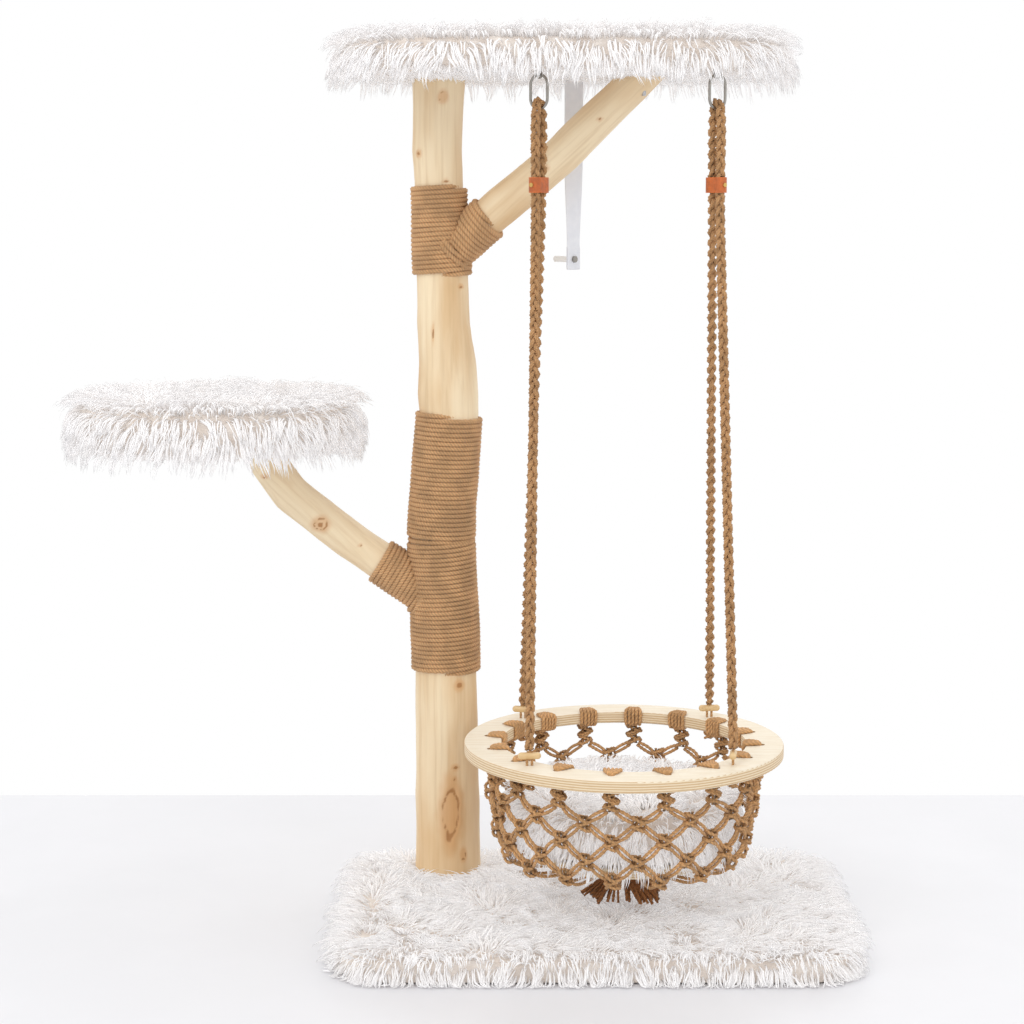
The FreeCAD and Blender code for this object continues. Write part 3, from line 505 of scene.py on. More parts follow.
@lru_cache(maxsize=None)
def laid_cord(name, colour, plies, yarns, pitch, fuzz=0.5):
    """Twisted natural cord of thick plies, with painted shade in the grooves between plies and
    between yarns. yarns fine threads turn once in each pitch.
    """
    finish = Finish(name, roughness=0.86, sheen_weight=0.12)
    turn_x, turn_y, along = finish.axes(finish.attribute("lay", "Vector"))
    angle = finish.node("ShaderNodeMath", {"operation": "ARCTAN2"}, {0: turn_y, 1: turn_x})
    threads = finish.sine(angle * float(yarns) + along * (2 * math.pi * yarns / pitch)) * 0.5 + 0.5
    speck = finish.noise(finish.place(), 900, 3, 0.65)
    patch = finish.noise(finish.place(), 42, 3, 0.5)
    tone = finish.mix(finish.step(patch, 0.32, 0.68), shade(colour, 0.80), shade(colour, 1.16))
    tone = finish.mix(finish.step(speck, 0.45, 0.72) * 0.42, tone, shade(colour, 1.38))
    # painted shade: the cord darkens in the grooves between its fine yarns; the same threads also
    # feed the bump
    tone = finish.mix((1 - threads) * 0.22, tone, shade(colour, 0.66))
    # painted shade: the cord darkens in the valleys between its plies, where shade falls
    crest = finish.sine(angle * float(plies) + math.pi / 2) * 0.5 + 0.5
    tone = finish.mix((1 - crest) * 0.55, tone, shade(colour, 0.50))
    finish.colour(tone)
    finish.bump(threads * (1 - fuzz) + speck * fuzz, 0.0006, 0.8)
    return finish.material


@lru_cache(maxsize=None)
def pile_finish():
    """White pile with painted shade, warmer and darker at the roots, a painted glow, and fine hairs
    along each lock.
    """
    look = bpy.context.scene.tree_plush
    finish = Finish("plush_pile", roughness=0.92, sheen_weight=0.25, sheen_roughness=0.5)
    turn_x, turn_y, along = finish.axes(finish.attribute("lay", "Vector"))
    tip, tone = finish.attribute("tip"), finish.attribute("tone")
    hair = finish.node("ShaderNodeCombineXYZ", sockets={0: turn_x, 1: turn_y, 2: along * 6.0})
    hair = finish.noise(hair, 7, 2, 0.6)
    # painted shade: each lock darkens from the tip colour to the root colour towards its root,
    # where shade falls in the pile
    fur = finish.mix(finish.step(tip, 0.0, 0.62), tuple(look.root), tuple(look.colour))
    fur = finish.mix(tone * 0.30, fur, tint(236, 231, 227))
    finish.colour(fur)
    # painted glow: the pile's colour also feeds its emission, so the locks give off light and their
    # shade is lifted
    finish.plug(finish.shader.inputs["Emission Color"], fur)
    finish.shader.inputs["Emission Strength"].default_value = look.painted_glow
    finish.bump(hair, 0.0006, 0.45)
    return finish.material


@lru_cache(maxsize=None)
def plush_backing():
    """The knitted cloth that the pile stands on."""
    finish = Finish("plush_backing", roughness=0.95, sheen_weight=0.2)
    knit_x, knit_y, knit_z = finish.axes(finish.place())
    rows = finish.sine(knit_x * 2400.0) * finish.sine((knit_y + knit_z) * 2400.0) * 0.5 + 0.5
    cloud = finish.noise(finish.place(), 60, 3)
    pale, deep = tint(238, 230, 222), tint(226, 214, 203)
    finish.colour(finish.mix(finish.step(cloud, 0.3, 0.7), pale, deep))
    finish.bump(rows, 0.0005, 0.5)
    return finish.material


@lru_cache(maxsize=None)
def plywood():
    """Sanded birch plywood: a quiet grain on the faces, and plies along the edges."""
    finish = Finish("birch_plywood", roughness=0.52, coat_weight=0.05, coat_roughness=0.35)
    place = finish.place()
    grain = finish.noise(finish.shift(place, scale=(0.06, 1, 1)), 240, 4, 0.6)
    sweep = finish.noise(finish.shift(place, scale=(0.22, 1, 1)), 26, 4, 0.55)
    rings = finish.sine(sweep * 46.0) * 0.5 + 0.5
    face = finish.mix(rings * 0.32, tint(238, 228, 208), tint(226, 209, 180))
    face = finish.mix(finish.step(grain, 0.45, 0.75) * 0.30, face, tint(214, 192, 158))
    height = finish.axes(place)[2]
    wander = finish.noise(place, 30, 2) * 0.35
    plies = finish.sine((height * (1 / 0.0030) + wander) * (2 * math.pi)) * 0.5 + 0.5
    edge = finish.mix(finish.step(plies, 0.30, 0.70), tint(232, 215, 184), tint(206, 174, 132))
    edge = finish.mix(finish.step(grain, 0.5, 0.8) * 0.25, edge, tint(170, 126, 80))
    facing = finish.axes(finish.node("ShaderNodeTexCoord", output="Normal"))[2]
    facing = finish.node("ShaderNodeMath", {"operation": "ABSOLUTE"}, {0: facing})
    on_face = finish.step(facing, 0.55, 0.80)
    finish.colour(finish.mix(on_face, edge, face))
    finish.rough(0.46 + grain * 0.2)
    finish.bump(grain * 0.5 + plies * (1 - on_face) * 0.5, 0.0004, 0.45)
    return finish.material


@lru_cache(maxsize=None)
def turned_wood():
    """Small sanded hardwood bars."""
    finish = Finish("turned_wood", roughness=0.45, coat_weight=0.12, coat_roughness=0.3)
    grain = finish.noise(finish.shift(finish.place(), scale=(0.2, 1, 1)), 380, 4)
    finish.colour(finish.mix(grain, tint(236, 211, 164), tint(200, 160, 106)))
    finish.rough(0.38 + grain * 0.2)
    finish.bump(grain, 0.0003, 0.4)
    return finish.material


@lru_cache(maxsize=None)
def metal(name, colour, roughness, scratch):
    """Plated metal with fine hairline wear and a little tarnish."""
    finish = Finish(name, roughness=roughness, metallic=1.0)
    wear = finish.noise(finish.shift(finish.place(), scale=(1, 1, 0.15)), 700, 3, 0.6)
    dull = finish.noise(finish.place(), 120, 3)
    finish.colour(finish.mix(finish.step(dull, 0.35, 0.75) * 0.4, colour, shade(colour, 0.68)))
    finish.rough(roughness + wear * scratch)
    finish.bump(wear, 0.0001, 0.3)
    return finish.material


@lru_cache(maxsize=None)
def leather():
    """Smooth vegetable-tanned leather, paler along its worn edges."""
    colour = tuple(bpy.context.scene.tree_ropes.leather)
    finish = Finish("tan_leather", roughness=0.42, coat_weight=0.15, coat_roughness=0.35)
    pores = finish.node("ShaderNodeTexVoronoi", {"feature": "DISTANCE_TO_EDGE"}, {
        "Vector": finish.place(), "Scale": 900.0})
    cloud = finish.noise(finish.place(), 130, 4)
    tone = finish.mix(finish.step(cloud, 0.3, 0.7), shade(colour, 0.78), shade(colour, 1.18))
    low, high = (corner[2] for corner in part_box("left_leather_band"))
    height = finish.axes(finish.place())[2]
    from_middle = finish.node("ShaderNodeMath", {"operation": "ABSOLUTE"}, {
        0: height - (low + high) / 2})
    worn = finish.step(from_middle, 0.40 * (high - low), 0.50 * (high - low))
    finish.colour(finish.mix(worn * 0.45, tone, shade(colour, 1.55)))
    finish.rough(0.36 + cloud * 0.22)
    finish.bump(finish.step(pores, 0.0, 0.12), 0.0002, 0.5)
    return finish.material


@lru_cache(maxsize=None)
def felt():
    """Dense grey felt under the base."""
    finish = Finish("base_felt", roughness=0.97, sheen_weight=0.15)
    fibre = finish.noise(finish.place(), 520, 5, 0.75)
    finish.colour(finish.mix(fibre, tint(96, 94, 92), tint(150, 147, 143)))
    finish.bump(fibre, 0.0006, 0.6)
    return finish.material


@lru_cache(maxsize=None)
def webbing():
    """White woven tape, with ribs across it and a fine herringbone."""
    finish = Finish("white_webbing", roughness=0.72, sheen_weight=0.2)
    side, _, height = finish.axes(finish.place())
    ribs = finish.sine(height * 4200.0) * 0.5 + 0.5
    weave = finish.sine(side * 5200.0 + ribs * 1.6) * 0.5 + 0.5
    cloud = finish.noise(finish.place(), 90, 2)
    tone = finish.mix(cloud, tint(240, 241, 245), tint(224, 227, 234))
    finish.colour(finish.mix(ribs * weave * 0.22, tone, tint(196, 200, 210)))
    finish.bump(ribs * 0.6 + weave * 0.4, 0.0004, 0.6)
    return finish.material


@lru_cache(maxsize=None)
def white_plastic():
    """Moulded plastic with a light spark texture."""
    finish = Finish("white_plastic", roughness=0.48)
    grain = finish.noise(finish.place(), 1500, 2)
    finish.colour(finish.mix(grain, tint(238, 238, 236), tint(226, 226, 224)))
    finish.rough(0.42 + grain * 0.12)
    finish.bump(grain, 0.0001, 0.4)
    return finish.material


def dress(material, *nodes):
    """Gives CAD nodes a finish."""
    for name in nodes:
        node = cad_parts[name]
        node.data.materials.clear()
        node.data.materials.append(material)


# ---------------------------------------------------------------- logs

class Mark:
    """A knot or bark scar on the front of a log: its centre, half width and half height in mm."""

    def __init__(self, side, height, half_width, half_height, ring=False, proud=0.8):
        self.centre = np.array((side, height)) * MM
        self.half = np.array((half_width, half_height)) * MM
        self.ring = ring
        self.proud = proud * MM

    def reach(self, points):
        """How many half sizes each point is from the mark's centre, as seen from the front."""
        spread = (points[:, (0, 2)] - self.centre) / self.half
        wobble = 1 + 0.10 * ripple(points, 0.02, 5)
        return np.linalg.norm(spread, axis=1) * wobble


LOG_MARKS = {
    "lower_trunk": [Mark(-183, 121, 9.5, 32, ring=True, proud=1.6), Mark(-177, 181, 3.6, 2.4),
                    Mark(-178, 166, 2.6, 2.2), Mark(-171, 291, 4.5, 5, proud=0.4),
                    Mark(-167, 62, 3, 7, ring=True, proud=0.6)],
    "upper_trunk": [Mark(-204, 752, 1.3, 9, proud=-0.6), Mark(-168, 812, 2.0, 2.0),
                    Mark(-190, 1051, 4.2, 5.5, ring=True), Mark(-186, 946, 3.2, 1.8),
                    Mark(-221, 981, 2.4, 3.4)],
    "lower_branch": [Mark(-352, 503, 4.6, 3.6), Mark(-352, 503, 8.2, 6.6, ring=True, proud=0.9),
                     Mark(-424, 566, 3.0, 2.0), Mark(-300, 476, 1.8, 1.4)],
    "upper_branch": [Mark(-60, 962, 3.2, 2.6), Mark(8, 1022, 2.2, 1.8)],
}
LOG_LEAN = {"lower_trunk": (0, 0), "upper_trunk": (0, 0),
            "lower_branch": (math.radians(46), 0),
            "upper_branch": (math.radians(-46.7), math.radians(-13.6))}


@lru_cache(maxsize=None)
def log_mesh(node):
    """A log's solid, remeshed finely, with swells, ridges along the grain, knots and scars."""
    look = bpy.context.scene.tree_logs
    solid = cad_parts[node].data.copy()
    shape = bmesh.new()
    shape.from_mesh(solid)
    bmesh.ops.remove_doubles(shape, verts=shape.verts[:], dist=0.01 * MM)
    shape.to_mesh(solid)
    shape.free()
    carrier = bpy.data.objects.new("log_solid", solid)
    bpy.context.scene.collection.objects.link(carrier)
    remesh = carrier.modifiers.new("even_faces", "REMESH")
    remesh.mode = "VOXEL"
    remesh.voxel_size = look.skin
    smooth = carrier.modifiers.new("worn_edges", "SMOOTH")
    smooth.factor = 0.6
    smooth.iterations = 6
    mesh = bpy.data.meshes.new_from_object(carrier.evaluated_get(
        bpy.context.evaluated_depsgraph_get()))
    bpy.data.objects.remove(carrier)
    points, normals = read_points(mesh)
    lean, turn = LOG_LEAN[node]
    grain = np.array(Matrix.Rotation(lean, 3, "Y") @ Matrix.Rotation(turn, 3, "X"))
    combed = (points @ grain.T) * (1, 1, 0.16)
    height = 0.9 * MM * ripple(points, 0.11, 3) + 0.35 * MM * ripple(combed, 0.012, 4)
    height = height + 0.12 * MM * ripple(combed, 0.005, 8)
    scar, blush = np.zeros(len(points)), np.zeros(len(points))
    facing = smoothstep(-normals[:, 1], 0.1, 0.4)
    for mark in LOG_MARKS[node]:
        reach = mark.reach(points)
        near = facing * (1 - smoothstep(reach, 1.0, 2.2))
        blush = np.maximum(blush, near)
        if mark.ring:
            line = np.exp(-((reach - 1) / 0.13) ** 2) * facing
            scar = np.maximum(scar, line)
            swell = np.exp(-((reach - 1.25) / 0.25) ** 2) * 0.7
            groove = np.exp(-((reach - 1) / 0.1) ** 2) * 0.6
            height = height + mark.proud * facing * (swell - groove)
        else:
            scar = np.maximum(scar, (1 - smoothstep(reach, 0.55, 1.1)) * facing)
            height = height + mark.proud * near
    mesh.vertices.foreach_set("co", (points + normals * height[:, None]).ravel())
    mesh.attributes.new("scar", "FLOAT", "POINT").data.foreach_set("value", scar)
    mesh.attributes.new("blush", "FLOAT", "POINT").data.foreach_set("value", blush)
    mesh.polygons.foreach_set("use_smooth", [True] * len(mesh.polygons))
    mesh.update()
    return mesh


def read_points(mesh):
    """A mesh's points and their normals as arrays."""
    points = np.empty(len(mesh.vertices) * 3)
    mesh.vertices.foreach_get("co", points)
    normals = np.empty(len(mesh.vertices) * 3)
    mesh.vertex_normals.foreach_get("vector", normals)
    return points.reshape(-1, 3), normals.reshape(-1, 3)


class TREE_OT_logs(bpy.types.Operator):
    """Makes the two trunk logs and the two branches"""

    bl_idname = "pet_tree.logs"
    bl_label = "Peeled logs"

    def execute(self, context):
        for node, (lean, turn) in LOG_LEAN.items():
            material = peeled_log(node + "_wood", lean, turn)
            log = piece(node + "_log", log_mesh(node), material, "tree")
            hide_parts(node)
        return {"FINISHED"}


# ---------------------------------------------------------------- jute wound round the logs

WRAPS = {
    "lower_trunk_wrap": ("lower_trunk upper_trunk", [(-189.6, 145, 306), (-191.4, 145, 380),
                                                     (-195.5, 145, 480), (-190.5, 145, 560),
                                                     (-184.5, 145, 645)]),
    "upper_trunk_wrap": ("upper_trunk", [(-192, 145, 827), (-194.5, 145, 885), (-195.5, 145, 939)]),
    "lower_branch_wrap": ("lower_branch", [(-206, 145, 404), (-276, 145, 451)]),
    "upper_branch_wrap": ("upper_branch", [(-184, 142.5, 856), (-131, 130, 901)]),
}


def wind(stack, logs, axis, diameter):
    """Winds a rope round a log, turn on turn, from one end of an axis to the other."""
    trees = [BVHTree.FromPolygons([point.co for point in mesh.vertices],
                                  [face.vertices for face in mesh.polygons]) for mesh in logs]
    axis = even(axis, 2 * MM)
    length = distances(axis)[-1]
    first, second = sections(axis, (0, -1, 0.01))
    lay = diameter * 0.975
    steps = int((length / lay) * 2 * math.pi * 0.042 / (2.9 * MM))
    share = np.linspace(0, 1, steps)
    turn = share * (length / lay) * 2 * math.pi
    place = share * (len(axis) - 1)
    whole = np.minimum(place.astype(int), len(axis) - 2)
    part = (place - whole)[:, None]
    centres = axis[whole] * (1 - part) + axis[whole + 1] * part
    ways = np.cos(turn)[:, None] * first[whole] + np.sin(turn)[:, None] * second[whole]
    reach = np.full(steps, 0.03)
    for number, (centre, way) in enumerate(zip(centres, ways)):
        start = Vector(centre + way * 0.09)
        hits = [tree.ray_cast(start, Vector(-way), 0.09)[3] for tree in trees]
        hits = [hit for hit in hits if hit is not None]
        reach[number] = 0.09 - min(hits) if hits else reach[number - 1]
    window = np.ones(9) / 9
    reach = np.convolve(np.pad(reach, 4, mode="edge"), window, mode="valid")
    tuck = 1 - smoothstep(np.minimum(share, 1 - share) * steps, 0, 14)
    slack = 0.25 * MM * ripple(centres + ways * 0.04, 0.05, 6)
    out = reach + diameter * (0.44 - 0.9 * tuck) + slack
    strand(stack, centres + ways * out[:, None], diameter * 0.58, sides=9, pitch=0.0125,
           dip=0.18, across=UP)


class TREE_OT_wraps(bpy.types.Operator):
    """Winds jute rope round the trunk and the roots of the branches"""

    bl_idname = "pet_tree.wraps"
    bl_label = "Jute wraps"

    def execute(self, context):
        look = context.scene.tree_logs
        jute = laid_cord("wound_jute", tuple(look.jute_colour), 3, 12, 0.0125)
        for node, (logs, axis) in WRAPS.items():
            stack = Stack()
            wind(stack, [log_mesh(log) for log in logs.split()], np.array(axis) * MM, look.jute)
            wrap = piece(node + "_rope", stack.mesh(node + "_rope"), jute, "tree")
            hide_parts(node)
        return {"FINISHED"}


# ---------------------------------------------------------------- plush

LOCK_JOINTS = 5
LOCK_TAPER = np.array((0.90, 1.0, 0.80, 0.48, 0.0))
LOCKS_IN_A_PIECE = 9000


@lru_cache(maxsize=None)
def lock_template():
    """A closed three-sided lock that comes to a point: z is a point's joint."""
    shape = bmesh.new()
    bmesh.ops.create_circle(shape, segments=3, radius=1)
    bmesh.ops.spin(shape, geom=shape.verts[:] + shape.edges[:], cent=(0, 0, 0), axis=(0, 0, 1),
                   dvec=(0, 0, 1), angle=0, steps=LOCK_JOINTS - 1)
    top = [point for point in shape.verts if point.co.z > LOCK_JOINTS - 1.5]
    bmesh.ops.pointmerge(shape, verts=top, merge_co=(0, 0, LOCK_JOINTS - 1))
    bmesh.ops.holes_fill(shape, edges=shape.edges[:], sides=3)
    bmesh.ops.recalc_face_normals(shape, faces=shape.faces[:])
    return Template(shape)


class Slab:
    """A flat form with round corners: the body of a covered board or of the cushion."""

    def __init__(self, centre, size, corner, low, high, edge):
        self.centre, self.half, self.corner = np.array(centre), np.array(size) / 2, corner
        self.low, self.high, self.edge = low, high, edge

    def outside(self, points):
        """How far points are outside the outline, negative inside it, as seen from above."""
        past = np.abs(points[..., :2] - self.centre) - (self.half - self.corner)
        inner = np.minimum(past.max(axis=-1), 0)
        return np.linalg.norm(np.maximum(past, 0), axis=-1) + inner - self.corner

    def outward(self, points):
        """The way straight out of the outline from each point."""
        small = 0.5 * MM
        slopes = [self.outside(points + np.eye(3)[axis] * small) -
                  self.outside(points - np.eye(3)[axis] * small) for axis in (0, 1)]
        way = np.stack([*slopes, np.zeros(len(points))], axis=1)
        return unit(way + 1e-6)

    def bmesh(self, bottom=True):
        """The slab as a bmesh, with its upright edges and then its rims rounded."""
        shape = bmesh.new()
        bmesh.ops.create_cube(shape, size=1)
        size = (*(2 * self.half), self.high - self.low)
        bmesh.ops.scale(shape, vec=size, verts=shape.verts[:])
        bmesh.ops.translate(shape, vec=(*self.centre, (self.high + self.low) / 2),
                            verts=shape.verts[:])
        upright = [edge for edge in shape.edges
                   if abs(edge.verts[0].co.z - edge.verts[1].co.z) > MM]
        bmesh.ops.bevel(shape, geom=upright, offset=self.corner * 0.999, affect="EDGES",
                        segments=16, profile=0.5, material=-1)
        bmesh.ops.remove_doubles(shape, verts=shape.verts[:], dist=0.1 * MM)
        rims = [edge for edge in shape.edges
                if abs(edge.verts[0].co.z - edge.verts[1].co.z) < MM
                and (bottom or edge.verts[0].co.z > self.low + MM) and len(edge.link_faces) == 2
                and abs(edge.link_faces[0].normal.z - edge.link_faces[1].normal.z) > 0.5]
        bmesh.ops.bevel(shape, geom=rims, offset=self.edge, affect="EDGES", segments=4,
                        profile=0.5, material=-1)
        bmesh.ops.remove_doubles(shape, verts=shape.verts[:], dist=0.8 * MM)
        if not bottom:
            under = [face for face in shape.faces if face.normal.z < -0.9]
            bmesh.ops.delete(shape, geom=under, context="FACES_ONLY")
        return shape

    def clear(self, points, margin):
        """Points moved out of the slab to that margin by the shortest way."""
        beyond = self.outside(points)
        ways = np.stack([self.high + margin - points[:, 2], margin - beyond,
                         points[:, 2] - self.low + margin], axis=1)
        inside = (ways > 0).all(axis=1)
        nearest = ways.argmin(axis=1)
        moved = points.copy()
        moved[:, 2] += np.where(inside & (nearest == 0), ways[:, 0], 0)
        moved[:, 2] -= np.where(inside & (nearest == 2), ways[:, 2], 0)
        push = np.where(inside & (nearest == 1), ways[:, 1], 0)
        return moved + self.outward(points) * push[:, None]


def scatter(shape, spread, draw, under=0.45):
    """Points spread evenly over a bmesh's faces, fewer on its underside, and their normals."""
    corners, normals, weights = [], [], []
    for loop in shape.calc_loop_triangles():
        normal = loop[0].face.normal
        corners.append([tuple(corner.vert.co) for corner in loop])
        normals.append(tuple(normal))
        weights.append(under if normal.z < -0.7 else 1.0)
    corners, normals, weights = np.array(corners), np.array(normals), np.array(weights)
    sides = corners[:, 1:] - corners[:, :1]
    area = np.linalg.norm(np.cross(sides[:, 0], sides[:, 1]), axis=1) / 2 * weights
    count = int(area.sum() * spread)
    chosen = draw.choice(len(area), count, p=area / area.sum())
    first, second = draw.random((2, count, 1))
    folded = first + second > 1
    first, second = np.where(folded, 1 - first, first), np.where(folded, 1 - second, second)
    roots = corners[chosen, 0] + first * sides[chosen, 0] + second * sides[chosen, 1]
    return roots, normals[chosen]


def comb_flow(slab, roots, normals, parting, swirl, seed):
    """Which way the pile lies at each root."""
    angle = 2.6 * ripple(roots * (1, 1, 0), 0.16, seed) + 1.1 * ripple(roots, 0.05, seed + 1)
    inner = np.stack([np.cos(angle), np.sin(angle), np.zeros(len(roots))], axis=1)
    out = slab.outward(roots)
    near_edge = smoothstep(slab.outside(roots), -parting, -0.3 * parting)[:, None]
    on_top = np.abs(normals[:, 2:]) > 0.7
    flat = unit(inner * swirl * (1 - near_edge) + out * (near_edge + 0.15))
    side = np.cross(out, UP)
    hang = unit(-0.9 * UP + 0.35 * out + 0.45 * side * ripple(roots, 0.035, seed + 2)[:, None])
    return np.where(on_top, flat, hang)


def grow(slab, roots, normals, flow, lengths, lift, curl, phase, floor):
    """The joints of each lock: up from its root, over along the flow and down past an edge."""
    side = unit(np.cross(normals, flow) + 1e-6)
    joints = [roots - normals * 1.5 * MM]
    segments = LOCK_JOINTS - 1
    for number in range(segments):
        share = (number + 0.5) / segments
        beyond = smoothstep(slab.outside(joints[-1]), -4 * MM, 14 * MM)[:, None]
        rise = (lift * (1 - share) ** 1.3)[:, None]
        sway = (curl * np.cos(2 * math.pi * share * 1.15 + phase))[:, None]
        ahead = unit(normals * rise + flow * (1.05 - 0.45 * rise) + side * sway
                     - UP * (0.08 + 0.75 * beyond * share + 0.20 * share))
        reached = joints[-1] + ahead * (lengths / segments)[:, None]
        reached = slab.clear(reached, 2.5 * MM * (1 + share))
        low = floor + 1.5 * MM + 2 * MM * np.abs(np.sin(phase * 7))
        reached[:, 2] = np.maximum(reached[:, 2], low)
        joints.append(reached)
    return np.stack(joints, axis=1)


def pile(name, slab, shape, body, seed, length=None, parting=0.045, swirl=1.0, lift=1.15,
         floor=-1.0, spread=1.0, keep=None):
    """Grows pile on a slab's bmesh and returns its pieces."""
    look = bpy.context.scene.tree_plush
    draw = np.random.default_rng(seed)
    length = length or look.pile
    roots, normals = scatter(shape, look.spread * spread, draw)
    if keep is not None:
        wanted = keep(roots, normals)
        roots, normals = roots[wanted], normals[wanted]
    middles = draw.choice(len(roots), int(len(roots) / (look.spread * look.clump ** 2)), False)
    tree = KDTree(len(middles))
    for number, middle in enumerate(middles):
        tree.insert(roots[middle] + normals[middle] * 0.02, number)
    tree.balance()
    clump = np.array([tree.find(root)[1] for root in roots + normals * 0.02])
    flow = comb_flow(slab, roots, normals, parting, swirl, seed)
    flow = unit(flow + 0.16 * draw.normal(size=flow.shape))
    top = normals[:, 2] > 0.7
    under = normals[:, 2] < -0.7
    lengths = length * draw.uniform(0.72, 1.12, len(roots)) * np.where(under, 0.55, 1.0)
    rise = lift * np.where(top, draw.uniform(0.75, 1.2, len(roots)),
                           draw.uniform(0.7, 1.3, len(roots))) * np.where(under, 0.5, 1)
    phase = draw.uniform(0, 2 * math.pi, len(roots))
    phase = phase[middles][clump] + 0.35 * draw.normal(size=len(roots))
    curl = draw.uniform(0.10, 0.42, len(roots))
    joints = grow(slab, roots, normals, flow, lengths, rise, curl, phase, floor)
    leaders = joints[middles][clump]
    share = (np.arange(LOCK_JOINTS) / (LOCK_JOINTS - 1))[None, :, None]
    pull = draw.uniform(0.30, 0.80, len(middles))[clump][:, None, None] * share ** 1.4
    joints = joints + (leaders - joints) * pull
    joints[..., 2] = np.maximum(joints[..., 2], floor + 1.2 * MM)
    width = look.lock * draw.uniform(0.65, 1.25, len(roots)) / 2
    tone = np.clip(draw.random(len(middles))[clump] * 0.7 + draw.random(len(roots)) * 0.5, 0, 1)
    return lock_pieces(name, joints, normals, width, tone, body)


def lock_pieces(name, joints, normals, width, tone, body):
    """Meshes of locks along their joints, at most LOCKS_IN_A_PIECE locks to a piece."""
    template = lock_template()
    joint = np.rint(template.points[:, 2]).astype(int)
    around = np.arctan2(template.points[:, 1], template.points[:, 0])
    forward = unit(np.gradient(joints, axis=1))
    side = unit(np.cross(forward, normals[:, None, :]) + 1e-6)
    over = np.cross(forward, side)
    size = (width[:, None] * LOCK_TAPER[joint])[..., None]
    points = joints[:, joint] + side[:, joint] * size * np.cos(around)[:, None]
    points = points + over[:, joint] * size * 0.7 * np.sin(around)[:, None]
    share = joint / (LOCK_JOINTS - 1)
    made = []
    for start in range(0, len(points), LOCKS_IN_A_PIECE):
        some = points[start:start + LOCKS_IN_A_PIECE]
        stack = Stack()
        along = share * 1.0 + 3.7 * tone[start:start + len(some), None]
        lay = np.stack([np.broadcast_to(np.cos(around), along.shape),
                        np.broadcast_to(np.sin(around), along.shape), along], axis=2)
        stack.add(template, some, lay=lay, tip=np.tile(share, len(some)),
                  tone=np.repeat(tone[start:start + len(some)], len(joint)))
        label = f"{name}_{start // LOCKS_IN_A_PIECE + 1}"
        made.append(piece(label, stack.mesh(label), pile_finish(), body))
    return made


def backing(name, shape, thick, body, node):
    """A thin closed cloth shell from a bmesh of its outer surface."""
    bmesh.ops.triangulate(shape, faces=[face for face in shape.faces if len(face.verts) > 4])
    bmesh.ops.solidify(shape, geom=shape.faces[:], thickness=thick)
    mesh = bpy.data.meshes.new(name)
    shape.to_mesh(mesh)
    shape.free()
    cloth = piece(name, mesh, plush_backing(), body)
    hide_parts(node)
    return cloth


# each cover's trim from the CAD solid's sides, lowest and highest cloth, corners and round rims
COVERS = {
    "base_cover": (8, 2, 27, 61, 10),
    "side_shelf_cover": (20, 608, 664, 174, 25),
    "top_shelf_cover": (18, 1080, 1113, 156, 15),
}


def cover_slab(node, trim, low, high, corner, edge):
    """The slab inside a cover's CAD solid: trimmed at its sides, between two heights."""
    lowest, highest = (np.array(corner_point) for corner_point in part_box(node))
    size = (highest - lowest)[:2] - 2 * trim
    return Slab((lowest + highest)[:2] / 2, size, corner, low, high, edge=edge)


def area_of(shape):
    """The area of a bmesh's faces."""
    return sum(face.calc_area() for face in shape.faces)


class TREE_OT_plush(bpy.types.Operator):
    """Covers the base and the two perches with plush"""

    bl_idname = "pet_tree.plush"
    bl_label = "Plush covers"

    def execute(self, context):
        base, side, top = (cover_slab(node, *(size * MM for size in sizes))
                           for node, sizes in COVERS.items())
        self.cover("base_cover", base, 21, bottom=False, floor=0.0, lift=0.95, swirl=1.0)
        self.cover("side_shelf_cover", side, 32, parting=0.05, lift=1.2)
        self.cover("top_shelf_cover", top, 43, parting=0.05, lift=1.25, keep=self.off_rings)
        return {"FINISHED"}

    @staticmethod
    def off_rings(roots, normals):
        """Which roots leave the hanger rings free to swing under the top shelf."""
        free = np.ones(len(roots), bool)
        for side in ("left", "right"):
            low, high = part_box(f"{side}_hanger_ring")
            middle = np.array((low + high) / 2)
            near = np.abs(roots[:, :2] - middle[:2]) < (20 * MM, 34 * MM)
            free &= ~(near.all(axis=1) & (normals[:, 2] < -0.5))
        return free

    def cover(self, node, slab, seed, bottom=True, **ways):
        """One cover: its backing cloth and its pile."""
        shape = slab.bmesh(bottom)
        pieces = pile(node + "_pile", slab, shape, "tree", seed, **ways)
        area = area_of(shape)
        depth = slab.high - slab.low
        width, length = 2 * slab.half + 2 * depth
        cloth = backing(node + "_cloth", shape, 1.5 * MM, "tree", node)
        if bottom:
            length = 2 * length


# ---------------------------------------------------------------- plaited ropes and leather bands

ROPE_ROUTES = {
    "left_rope": [(-81.1, -147.5, 269.5), (-73.2, -27.2, 926), (-74.6, -29.3, 1039.2),
                  (-64.4, -14.7, 1039.2), (-65.8, -16.8, 926), (-87.5, 97.1, 269.5)],
    "right_rope": [(163.5, -141.1, 269.5), (149.2, -27.2, 926), (150.6, -29.3, 1039.2),
                   (140.4, -14.7, 1039.2), (141.8, -16.8, 926), (157.1, 103.5, 269.5)],
}


def rope_route(name):
    """A rope's route in metres, with a point near each band on its long straight runs."""
    route = [np.array(point) * MM for point in ROPE_ROUTES[name]]
    near = 6 * bpy.context.scene.tree_ropes.diameter
    down_front = route[1] + unit(route[0] - route[1]) * near
    down_back = route[-2] + unit(route[-1] - route[-2]) * near
    return [route[0], down_front, *route[1:-1], down_back, route[-1]]


def plait(stack, path, look):
    """Three twisted strands plaited flat along a path."""
    first, second = sections(path, (1, 0, 0.01))
    along = distances(path)
    thick = look.diameter * 0.43
    reach = (look.diameter - thick) / 2
    for number in range(3):
        phase = 2 * math.pi * (along / look.period + number / 3)
        over = 0.205 * look.diameter * np.sin(2 * phase)
        line = path + (reach * np.sin(phase))[:, None] * first + over[:, None] * second
        strand(stack, line, thick / 2 * 1.06, sides=12, lobes=4, dip=0.16, pitch=0.019)


